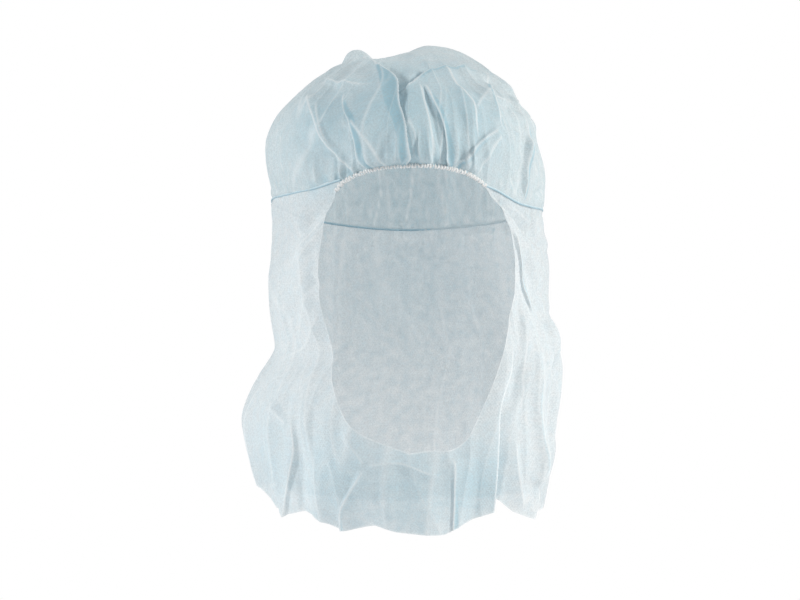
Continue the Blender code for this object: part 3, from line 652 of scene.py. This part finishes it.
    def cut_edges(self, grid):
        """Pales the cloth along the first and the last row of its threads: a painted highlight."""
        steps = np.linalg.norm(np.diff(grid, axis=1), axis=2)
        passed = np.pad(np.cumsum(steps, axis=1), ((0, 0), (1, 0)))
        away = np.minimum(passed, passed[:, -1:] - passed)
        self.crest = np.maximum(self.crest, 0.8 * np.clip(1 - away / CUT_EDGE, 0, 1).reshape(-1))

    def calm(self, share):
        away = np.abs(self.run - seam_run(self.turn)) * MERIDIAN
        free = share + (1 - share) * growth(away / SEAM_CALM, 1.0)
        self.height *= free
        self.shift *= (0.5 + 0.5 * growth(away / SEAM_CALM, 1.0))[:, None]

    def placed(self):
        return self.points + self.normals * self.height[:, None] + self.shift


def seam_run(turn):
    """Run of the lower rim of the crown at a turn, once round the hood."""
    turn = np.mod(np.asarray(turn, float), 360)
    steps = np.linspace(0, 1, 6 * len(SEAM_LINE))
    seam = smooth_line(SEAM_LINE, steps)
    elastic = smooth_line(ELASTIC_LINE, steps)
    on_seam = np.interp(turn, seam[:, 0], seam[:, 1])
    signed = np.where(turn > 180, turn - 360, turn)
    on_elastic = np.interp(signed, elastic[:, 0], elastic[:, 1])
    at_front = (signed > elastic[0, 0]) & (signed < elastic[-1, 0])
    seam_there = (turn >= seam[0, 0]) & (turn <= seam[-1, 0])
    both = np.where(seam_there, np.minimum(on_seam, on_elastic), on_elastic)
    return np.where(at_front, both, on_seam)


def ring_faces(columns, rows):
    """Quads between neighbouring columns of a closed ring, outward facing."""
    faces = []
    for column in range(columns):
        following = (column + 1) % columns
        for row in range(rows - 1):
            first = column * rows + row
            second = following * rows + row
            faces.append((first, first + 1, second + 1, second))
    return faces


def new_piece(name, points, faces, material, charts, **shares):
    """A smooth mesh piece, with a real-size chart of the cloth and named shares at each point."""
    mesh = bpy.data.meshes.new(name)
    mesh.from_pydata(points.tolist(), [], faces)
    mesh.shade_smooth()
    layer = mesh.uv_layers.new(name="cloth")
    corners = np.empty(len(mesh.loops), dtype=np.int32)
    mesh.loops.foreach_get("vertex_index", corners)
    layer.data.foreach_set("uv", charts[corners].astype(np.float32).reshape(-1))
    for key, values in shares.items():
        attribute = mesh.attributes.new(key, "FLOAT", "POINT")
        attribute.data.foreach_set("value", values.astype(np.float32))
    piece = bpy.data.objects.new(name, mesh)
    mesh.materials.append(material)
    bpy.context.scene.collection.objects.link(piece)
    return piece


# Materials


class Nodes:
    """Short way to add and join the nodes of one material."""

    def __init__(self, name):
        self.material = bpy.data.materials.new(name)
        self.material.use_nodes = True
        self.tree = self.material.node_tree
        self.tree.nodes.clear()

    def add(self, kind, settings=None, **sockets):
        node = self.tree.nodes.new(kind)
        for key, value in (settings or {}).items():
            setattr(node, key, value)
        for key, value in sockets.items():
            self.feed(node, key.replace("_", " "), value)
        return node

    def feed(self, node, key, value):
        socket = node.inputs[int(key)] if key.isdigit() else node.inputs[key]
        if isinstance(value, bpy.types.NodeSocket):
            self.tree.links.new(value, socket)
        else:
            socket.default_value = value

    def math(self, operation, first, second=0.0, third=None):
        node = self.tree.nodes.new("ShaderNodeMath")
        node.operation = operation
        self.feed(node, "0", first)
        self.feed(node, "1", second)
        if third is not None:
            self.feed(node, "2", third)
        return node.outputs[0]

    def blend(self, factor, first, second):
        node = self.tree.nodes.new("ShaderNodeMix")
        node.data_type = "RGBA"
        for socket, value in ((node.inputs[0], factor), (node.inputs[6], first), (node.inputs[7], second)):
            if isinstance(value, bpy.types.NodeSocket):
                self.tree.links.new(value, socket)
            else:
                socket.default_value = value
        return node.outputs[2]

    def spread(self, value, low, high, new_low, new_high):
        node = self.tree.nodes.new("ShaderNodeMapRange")
        for key, entry in zip(("Value", "From Min", "From Max", "To Min", "To Max"),
                              (value, low, high, new_low, new_high)):
            self.feed(node, key, entry)
        return node.outputs["Result"]


def nonwoven(name, thin, thick, lapped, cover, glow, speck=None):
    """Spunbond cloth: cloudy fibres, a grid of pressed points, creases with a painted highlight, and laps and
    patches darker, partly as denser cloth and partly as painted shade.

    thin, thick and lapped are the colours of sparse fibres, of dense fibres and of cloth lying over itself, which
    also stands for painted shade under laps and in the patches; cover the share of light that the fibres stop and
    glow the share of the rest that comes through them.
    speck is the place of a small dark speck on the cloth's chart, in millimetres.
    """
    n = Nodes(name)
    chart = n.add("ShaderNodeUVMap", {"uv_map": "cloth"}).outputs["UV"]
    metres = n.add("ShaderNodeMapping", Vector=chart, Scale=(1000.0, 1000.0, 1000.0)).outputs["Vector"]
    split = n.add("ShaderNodeSeparateXYZ", Vector=metres)

    clouds = n.add("ShaderNodeTexNoise", Vector=metres, Scale=0.16, Detail=6.0, Roughness=0.62)
    fibres = n.add("ShaderNodeTexNoise", Vector=metres, Scale=1.9, Detail=5.0, Roughness=0.7, Distortion=1.6)
    grains = n.add("ShaderNodeTexNoise", Vector=metres, Scale=0.85, Detail=2.0, Roughness=0.55, Distortion=0.8)
    wave_x = n.math("SINE", n.math("MULTIPLY", split.outputs["X"], 2 * math.pi / PRESS_PITCH_ACROSS))
    wave_y = n.math("SINE", n.math("MULTIPLY", split.outputs["Y"], 2 * math.pi / PRESS_PITCH_DOWN))
    grid = n.math("MULTIPLY", wave_x, wave_y)
    pressed = n.spread(grid, 0.45, 0.80, 0.0, 1.0)
    crest = n.add("ShaderNodeAttribute", {"attribute_name": "crest"}).outputs["Fac"]
    layers = n.add("ShaderNodeAttribute", {"attribute_name": "layers"}).outputs["Fac"]

    density = n.math("ADD", n.math("MULTIPLY", clouds.outputs["Fac"], 0.65),
                     n.math("MULTIPLY", fibres.outputs["Fac"], 0.35))
    tone = n.spread(density, 0.36, 0.66, 0.0, 1.0)
    grain = n.spread(grains.outputs["Fac"], 0.38, 0.64, 0.0, 1.0)
    colour = n.blend(tone, (*thin, 1), (*thick, 1))
    # Laps and patches take the lapped colour: partly denser cloth, partly painted shade
    colour = n.blend(n.math("MULTIPLY", layers, 0.68), colour, (*lapped, 1))
    colour = n.blend(n.math("MULTIPLY", grain, 0.32), colour, (*[0.72 * c for c in thick], 1))
    colour = n.blend(n.math("MULTIPLY", pressed, 0.34), colour, (*[0.80 * c for c in thick], 1))
    # Painted highlight along creases, fold crests and cut edges
    colour = n.blend(n.math("MULTIPLY", crest, 0.75), colour, (0.94, 0.97, 0.98, 1))
    if speck:
        away = n.add("ShaderNodeVectorMath", {"operation": "DISTANCE"}, **{"0": metres, "1": (*speck, 0.0)})
        spot = n.spread(away.outputs["Value"], 0.45, 0.80, 1.0, 0.0)
        colour = n.blend(spot, colour, (0.10, 0.12, 0.14, 1))

    height = n.math("ADD", n.math("MULTIPLY", fibres.outputs["Fac"], 0.5),
                    n.math("MULTIPLY", grains.outputs["Fac"], 0.5))
    height = n.math("ADD", height, n.math("MULTIPLY", pressed, -0.5))
    bump = n.add("ShaderNodeBump", Strength=0.55, Distance=0.00030, Height=height)

    body = n.add("ShaderNodeBsdfPrincipled", Base_Color=colour, Normal=bump.outputs["Normal"],
                 Roughness=n.spread(pressed, 0.0, 1.0, 0.78, 0.55))
    body.inputs["Specular IOR Level"].default_value = 0.35
    body.inputs["Sheen Weight"].default_value = 0.12
    body.inputs["Sheen Roughness"].default_value = 0.5
    through = n.add("ShaderNodeBsdfTranslucent", Color=colour, Normal=bump.outputs["Normal"])
    cloth = n.add("ShaderNodeMixShader", Fac=glow)
    n.tree.links.new(body.outputs[0], cloth.inputs[1])
    n.tree.links.new(through.outputs[0], cloth.inputs[2])

    holes = n.add("ShaderNodeBsdfTransparent")
    closed = n.math("ADD", n.spread(density, 0.36, 0.66, cover - 0.08, cover + 0.06),
                    n.math("MULTIPLY", layers, 0.14))
    closed = n.math("ADD", closed, n.math("MULTIPLY", grain, -0.06))
    closed = n.math("MINIMUM", closed, 1.0)
    sheet = n.add("ShaderNodeMixShader", Fac=closed)
    n.tree.links.new(holes.outputs[0], sheet.inputs[1])
    n.tree.links.new(cloth.outputs[0], sheet.inputs[2])
    output = n.add("ShaderNodeOutputMaterial")
    n.tree.links.new(sheet.outputs[0], output.inputs["Surface"])
    return n.material


def fuzzy(name, pale, shade, fleck, pitch):
    """Opaque crimped fibre for the elastic and the welded seam, with flecks of another colour, and painted
    highlight and painted shade: the crest share blends it towards the pale colour where high and towards the
    shade colour where low.
    """
    n = Nodes(name)
    chart = n.add("ShaderNodeUVMap", {"uv_map": "cloth"}).outputs["UV"]
    metres = n.add("ShaderNodeMapping", Vector=chart, Scale=(1000.0, 1000.0, 1000.0)).outputs["Vector"]
    fibres = n.add("ShaderNodeTexNoise", Vector=metres, Scale=pitch, Detail=6.0, Roughness=0.75, Distortion=2.0)
    tone = n.spread(fibres.outputs["Fac"], 0.35, 0.65, 0.0, 1.0)
    crest = n.add("ShaderNodeAttribute", {"attribute_name": "crest"}).outputs["Fac"]
    # The crest share paints the lit parts pale and the shaded parts dark
    tone = n.math("MULTIPLY", n.math("ADD", tone, crest), 0.5)
    colour = n.blend(tone, (*shade, 1), (*pale, 1))
    flecks = n.add("ShaderNodeTexNoise", Vector=metres, Scale=0.55, Detail=1.0)
    colour = n.blend(n.spread(flecks.outputs["Fac"], 0.58, 0.66, 0.0, 0.75), colour, (*fleck, 1))
    bump = n.add("ShaderNodeBump", Strength=0.6, Distance=0.0004, Height=fibres.outputs["Fac"])
    body = n.add("ShaderNodeBsdfPrincipled", Base_Color=colour, Normal=bump.outputs["Normal"], Roughness=0.85)
    body.inputs["Sheen Weight"].default_value = 0.3
    body.inputs["Specular IOR Level"].default_value = 0.25
    output = n.add("ShaderNodeOutputMaterial")
    n.tree.links.new(body.outputs[0], output.inputs["Surface"])
    return n.material


# Pieces


def crown_places():
    """Turns and runs of the crown's threads from near the top down to its rim."""
    front = np.linspace(-70, 70, CROWN_FRONT_COLUMNS, endpoint=False)
    back = np.linspace(70, 290, CROWN_BACK_COLUMNS, endpoint=False)
    turns = np.concatenate((front, back))
    shares = np.linspace(0, 1, CROWN_ROWS + 1)[1:]
    signed = np.mod(turns + 180, 360) - 180
    tip = TIP_DROP * np.clip(1 - np.abs(signed - TIP_TURN) / TIP_HALF_WIDTH, 0, 1)
    run = (seam_run(turns) + (RIM_TUCK + tip) / MERIDIAN)[:, None] * shares[None, :]
    turn = np.broadcast_to(turns[:, None], run.shape)
    return turn, run


def build_crown(material):
    turn, run = crown_places()
    apex_run = run.min() / 2
    sheet = Sheet(np.append(turn.reshape(-1), 0.0), np.append(run.reshape(-1), apex_run))
    sheet.puffs(PUFFS)
    sheet.charted_folds(CROWN_FOLDS)
    sheet.sway(3, 0.0012, 0.055)
    sheet.creases((3.1, 7.4, 1.2), 0.026, 0.130, 0.0024, 0.50, 0.05, 0.20)
    sheet.creases((9.6, 2.7, 5.3), 0.012, 0.080, 0.0010, 0.28, 0.12, 0.30)
    sheet.crumples(5, 70, (-180, 180), (0.02, 0.40), (0.025, 0.070), (0.0005, 0.0013), (0.008, 0.026))
    sheet.crumples(6, 26, (-70, 70), (0.12, 0.38), (0.015, 0.045), (0.0004, 0.0009), (0.005, 0.014))
    sheet.crumples(7, 30, (46, 92), (0.20, 0.42), (0.015, 0.050), (0.0012, 0.0026), (0.003, 0.009))
    sheet.calm(SEAM_SHARE)
    sheet.gathers(8, ELASTIC_LINE, 0.0027, True, (0.008, 0.034), (0.0007, 0.0020), (0.0016, 0.0040))
    sheet.gathers(9, SEAM_LINE, 0.0060, True, (0.006, 0.024), (0.0004, 0.0013), (0.0020, 0.0060))
    sheet.patches(CROWN_PATCHES)
    points = sheet.placed()
    faces = ring_faces(len(turn), CROWN_ROWS)
    apex = len(points) - 1
    for column in range(len(turn)):
        following = (column + 1) % len(turn)
        faces.append((apex, column * CROWN_ROWS, following * CROWN_ROWS))
    angle = np.radians(sheet.turn)
    radius = sheet.run * MERIDIAN
    charts = np.stack((radius * np.sin(angle), -radius * np.cos(angle)), axis=1)
    piece = new_piece("crown_cloth", points, faces, material, charts, crest=sheet.crest, layers=sheet.layers)
    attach(piece, "root")
    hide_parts("crown")
    return piece


def drape_places():
    """Turns and runs of the drape's threads from the opening or the seam down to the hem."""
    opening_shares = np.linspace(0, 1, OPENING_COLUMNS)
    seam_shares = np.linspace(0, 1, SEAM_COLUMNS)
    opening_threads = np.array(OPENING_THREADS)
    seam_threads = np.array(SEAM_THREADS)

    right = smooth_line(OPENING_RIGHT, opening_shares)
    left = smooth_line(OPENING_LEFT, opening_shares)
    tuck = -RIM_TUCK / MERIDIAN
    below_seam = [(turn, run + tuck) for turn, run in SEAM_LINE[1:-1]]
    left_corner = (OPENING_LEFT[-1][0] + 360, OPENING_LEFT[-1][1])
    seam = smooth_line([OPENING_RIGHT[-1]] + below_seam + [left_corner], seam_shares)

    hem_right = smooth_table(opening_shares, opening_threads[:, 0], opening_threads[:, 1:])
    hem_seam = smooth_table(seam_shares, seam_threads[:, 0], seam_threads[:, 1:])
    hem_left = hem_right * -1
    lowest_turn = OPENING_RIGHT[0][0]
    hem_right[:, 0] += lowest_turn * (1 - opening_shares)
    hem_left[:, 0] += lowest_turn * (1 - opening_shares)

    start = np.vstack((right[:-1], seam[:-1], left[::-1][:-1] + (360, 0)))
    ends = np.vstack((hem_right[:-1], hem_seam[:-1], hem_left[::-1][:-1] + (360, 0)))
    hem = np.array(HEM_LINE)
    signed = np.mod(ends[:, 0] + 180, 360) - 180
    curved = smooth_table(signed, hem[:, 0], hem[:, 1:])[:, 0]
    hem_run = curved + HEM_STRAIGHT * (np.interp(signed, hem[:, 0], hem[:, 1]) - curved)

    down = np.linspace(0, 1, DRAPE_ROWS)
    bow = 4 * down * (1 - down)
    turn = start[:, :1] * (1 - down) + ends[:, :1] * down + THREAD_BOW * ends[:, 1:] * bow
    run = start[:, 1:] * (1 - down) + hem_run[:, None] * down
    return turn, run


def build_drape(material):
    turn, run = drape_places()
    sheet = Sheet(turn, run)
    sheet.charted_folds(DRAPE_FOLDS)
    sheet.sway(13, 0.0014, 0.070)
    sheet.creases((14.2, 3.9, 8.8), 0.034, 0.200, 0.0026, 0.40, 0.40, 0.50)
    sheet.creases((5.7, 11.3, 2.6), 0.014, 0.100, 0.0011, 0.22, 0.40, 0.50)
    sheet.crumples(15, 80, (-180, 180), (0.45, 0.98), (0.030, 0.090), (0.0005, 0.0014), (0.009, 0.030))
    sheet.crumples(16, 30, (-75, 75), (0.60, 0.98), (0.018, 0.055), (0.0004, 0.0009), (0.005, 0.016))
    sheet.crumples(17, 38, (46, 96), (0.46, 0.92), (0.020, 0.060), (0.0012, 0.0026), (0.003, 0.010))
    sheet.calm(SEAM_SHARE)
    sheet.gathers(18, SEAM_LINE, 0.0075, False, (0.006, 0.024), (0.0003, 0.0010), (0.0020, 0.0050))
    sheet.patches(DRAPE_PATCHES)
    points = sheet.placed()
    sheet.cut_edges(points.reshape(*turn.shape, 3))
    faces = ring_faces(len(turn), DRAPE_ROWS)
    angle = np.radians(sheet.turn)
    charts = np.stack((angle * HALF_WIDTH, -sheet.run * MERIDIAN), axis=1)
    piece = new_piece("drape_cloth", points, faces, material, charts, crest=sheet.crest, layers=sheet.layers)
    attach(piece, "root")
    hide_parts("neck_drape")
    return piece


def build_bead(name, line, stations, outline, material, node):
    """Ribbed strip along a line of the plain form, closed at both ends.

    outline gives, for a share of the strip and an angle round it, the reach outwards and upwards and the share of
    the pale colour there; the rest takes painted shade.
    """
    shares = np.linspace(0, 1, stations)
    places = smooth_line(line, shares)
    centre = plain_form(places[:, 0], places[:, 1])
    normal = plain_normal(places[:, 0], places[:, 1])
    along = np.gradient(centre, axis=0)
    lengths = np.concatenate(([0.0], np.cumsum(np.linalg.norm(np.diff(centre, axis=0), axis=1))))
    across = np.cross(normal, along)
    across /= np.linalg.norm(across, axis=1, keepdims=True)
    angles = 2 * math.pi * (np.arange(BEAD_SIDES) + 0.5) / BEAD_SIDES
    out, up, pale = outline(lengths[:, None], angles[None, :])
    points = (centre[:, None, :] + normal[:, None, :] * out[..., None] + across[:, None, :] * up[..., None])
    points = points.reshape(-1, 3)
    faces = []
    for station in range(stations - 1):
        for side in range(BEAD_SIDES):
            near = station * BEAD_SIDES + side
            beside = station * BEAD_SIDES + (side + 1) % BEAD_SIDES
            faces.append((near, near + BEAD_SIDES, beside + BEAD_SIDES, beside))
    last = (stations - 1) * BEAD_SIDES
    faces.append(tuple(range(BEAD_SIDES)))
    faces.append(tuple(last + side for side in reversed(range(BEAD_SIDES))))
    charts = np.stack(np.broadcast_arrays(lengths[:, None], angles[None, :] * 0.0006), axis=-1).reshape(-1, 2)
    piece = new_piece(name, points, faces, material, charts,
                      crest=np.broadcast_to(pale, out.shape).reshape(-1))
    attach(piece, "root")
    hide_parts(node)
    return piece


def elastic_outline(length, angle):
    """Crimped elastic: uneven little knots along a flat cord, pale on the knots with painted shade in the hollows
    between them.
    """
    chance = np.random.default_rng(21)
    phase = 2 * math.pi * length / CRIMP_PITCH
    phase = phase + 0.9 * np.sin(phase * 0.13 + 1.0) + 0.6 * np.sin(phase * 0.31)
    knot = 0.5 + 0.5 * np.cos(phase)
    knot = knot ** 0.8
    rough = chance.normal(0, 0.05, (length.shape[0], angle.shape[1]))
    swell = 1 - CRIMP_DEPTH + 2 * CRIMP_DEPTH * knot + rough
    out = ELASTIC_PROUD + np.cos(angle) * ELASTIC_THICKNESS / 2 * swell
    up = np.sin(angle) * ELASTIC_HEIGHT / 2 * swell + CRIMP_ZIGZAG * np.sin(phase * 0.5)
    return out, up, knot + 0 * angle


def welt_outline(length, angle):
    """Two narrow pressed ridges side by side, the upper one pale as a painted highlight and the lower one dark as
    painted shade.
    """
    ridge = np.abs(np.sin(angle)) ** 0.6
    ripple = 1 + 0.10 * np.sin(2 * math.pi * length / 0.0043) + 0.08 * np.sin(2 * math.pi * length / 0.0101)
    up = np.sign(np.sin(angle)) * np.abs(np.sin(angle)) ** 0.7 * WELT_HEIGHT / 2 + 0 * length
    out = WELT_PROUD + np.cos(angle) * WELT_THICKNESS / 2 * (0.55 + 0.75 * ridge) * ripple
    return out, up, (np.sin(angle) > 0) * ripple + 0 * length


# Stage


def plain_material(name, colour, roughness):
    n = Nodes(name)
    grain = n.add("ShaderNodeTexNoise", Scale=40.0, Detail=3.0)
    shade = n.blend(n.spread(grain.outputs["Fac"], 0.3, 0.7, 0.0, 1.0), (*[0.98 * c for c in colour], 1),
                    (*colour, 1))
    body = n.add("ShaderNodeBsdfPrincipled", Base_Color=shade, Roughness=roughness)
    # Painted light: the grey floor glows white though it is no lamp, so it looks pale and lights the hood from
    # below
    body.inputs["Emission Color"].default_value = (1, 1, 1, 1)
    body.inputs["Emission Strength"].default_value = FLOOR_GLOW
    output = n.add("ShaderNodeOutputMaterial")
    n.tree.links.new(body.outputs[0], output.inputs["Surface"])
    return n.material


def build_floor():
    mesh = bpy.data.meshes.new("floor")
    count = 96
    ring = [(FLOOR_RADIUS * math.cos(2 * math.pi * k / count), FLOOR_RADIUS * math.sin(2 * math.pi * k / count),
             FLOOR_LEVEL) for k in range(count)]
    mesh.from_pydata(ring, [], [tuple(range(count))])
    floor = bpy.data.objects.new("floor", mesh)
    mesh.materials.append(plain_material("grey_glowing_floor", (0.45, 0.46, 0.47), 0.9))
    bpy.context.scene.collection.objects.link(floor)


def soft_light(name, place, target, size, power, colour):
    lamp = bpy.data.lights.new(name, "AREA")
    lamp.shape = "DISK"
    lamp.size = size
    lamp.energy = power
    lamp.color = colour
    light = bpy.data.objects.new(name, lamp)
    light.location = place
    heading = np.array(target) - np.array(place)
    pitch = math.atan2(math.hypot(heading[0], heading[1]), -heading[2])
    light.rotation_euler = (pitch, 0, math.atan2(heading[1], heading[0]) - math.pi / 2)
    bpy.context.scene.collection.objects.link(light)


def build_world():
    world = bpy.data.worlds.new("studio")
    world.use_nodes = True
    tree = world.node_tree
    tree.nodes.clear()
    direction = tree.nodes.new("ShaderNodeTexCoord").outputs["Generated"]
    lean = tree.nodes.new("ShaderNodeVectorMath")
    lean.operation = "DOT_PRODUCT"
    tree.links.new(direction, lean.inputs[0])
    lean.inputs[1].default_value = (ROOM_RIGHT, ROOM_BEHIND, ROOM_ABOVE)
    level = tree.nodes.new("ShaderNodeMath")
    level.operation = "ADD"
    tree.links.new(lean.outputs["Value"], level.inputs[0])
    level.inputs[1].default_value = ROOM_LIGHT
    room = tree.nodes.new("ShaderNodeBackground")
    tree.links.new(level.outputs[0], room.inputs["Strength"])
    backdrop = tree.nodes.new("ShaderNodeBackground")
    for light, strength in ((room, ROOM_LIGHT), (backdrop, BACKDROP)):
        light.inputs["Color"].default_value = (1.0, 1.0, 1.0, 1)
        light.inputs["Strength"].default_value = strength
    seen = tree.nodes.new("ShaderNodeMixShader")
    path = tree.nodes.new("ShaderNodeLightPath")
    tree.links.new(path.outputs["Is Camera Ray"], seen.inputs["Fac"])
    tree.links.new(room.outputs[0], seen.inputs[1])
    tree.links.new(backdrop.outputs[0], seen.inputs[2])
    output = tree.nodes.new("ShaderNodeOutputWorld")
    tree.links.new(seen.outputs[0], output.inputs["Surface"])
    bpy.context.scene.world = world


def build_camera():
    data = bpy.data.cameras.new("front")
    data.lens = CAMERA_LENS
    data.sensor_width = SENSOR_WIDTH
    camera = bpy.data.objects.new("front", data)
    camera.location = CAMERA_PLACE
    camera.rotation_euler = (math.pi / 2, 0, 0)
    bpy.context.scene.collection.objects.link(camera)
    bpy.context.scene.camera = camera


build_camera()
build_world()
build_floor()
for row in LIGHTS:
    soft_light(*row)

speck = (math.radians(SPECK[0]) * HALF_WIDTH * 1000, -SPECK[1] * MERIDIAN * 1000)
# The third colour of each cloth is for laps and patches, partly denser cloth and partly painted shade
crown_fibre = nonwoven("crown_nonwoven_cloth", (0.79, 0.85, 0.87), (0.59, 0.72, 0.77), (0.21, 0.47, 0.59),
                       0.88, 0.24)
drape_fibre = nonwoven("drape_nonwoven_cloth", (0.84, 0.87, 0.88), (0.68, 0.78, 0.83), (0.37, 0.63, 0.74),
                       0.88, 0.24, speck)
# Elastic and seam: pale colour, painted shade colour, and fleck colour
elastic_fibre = fuzzy("elastic_fibre", (0.95, 0.95, 0.94), (0.66, 0.70, 0.72), (0.42, 0.62, 0.70), 1.6)
seam_fibre = fuzzy("seam_fibre", (0.70, 0.82, 0.87), (0.19, 0.37, 0.47), (0.44, 0.61, 0.69), 1.2)

build_crown(crown_fibre)
build_drape(drape_fibre)
build_bead("elastic_cord", ELASTIC_LINE, ELASTIC_STATIONS, elastic_outline, elastic_fibre,
           "elastic_band")
build_bead("seam_ridge", SEAM_LINE, WELT_STATIONS, welt_outline, seam_fibre, "seam_welt")

bpy.context.scene.view_settings.view_transform = "Standard"
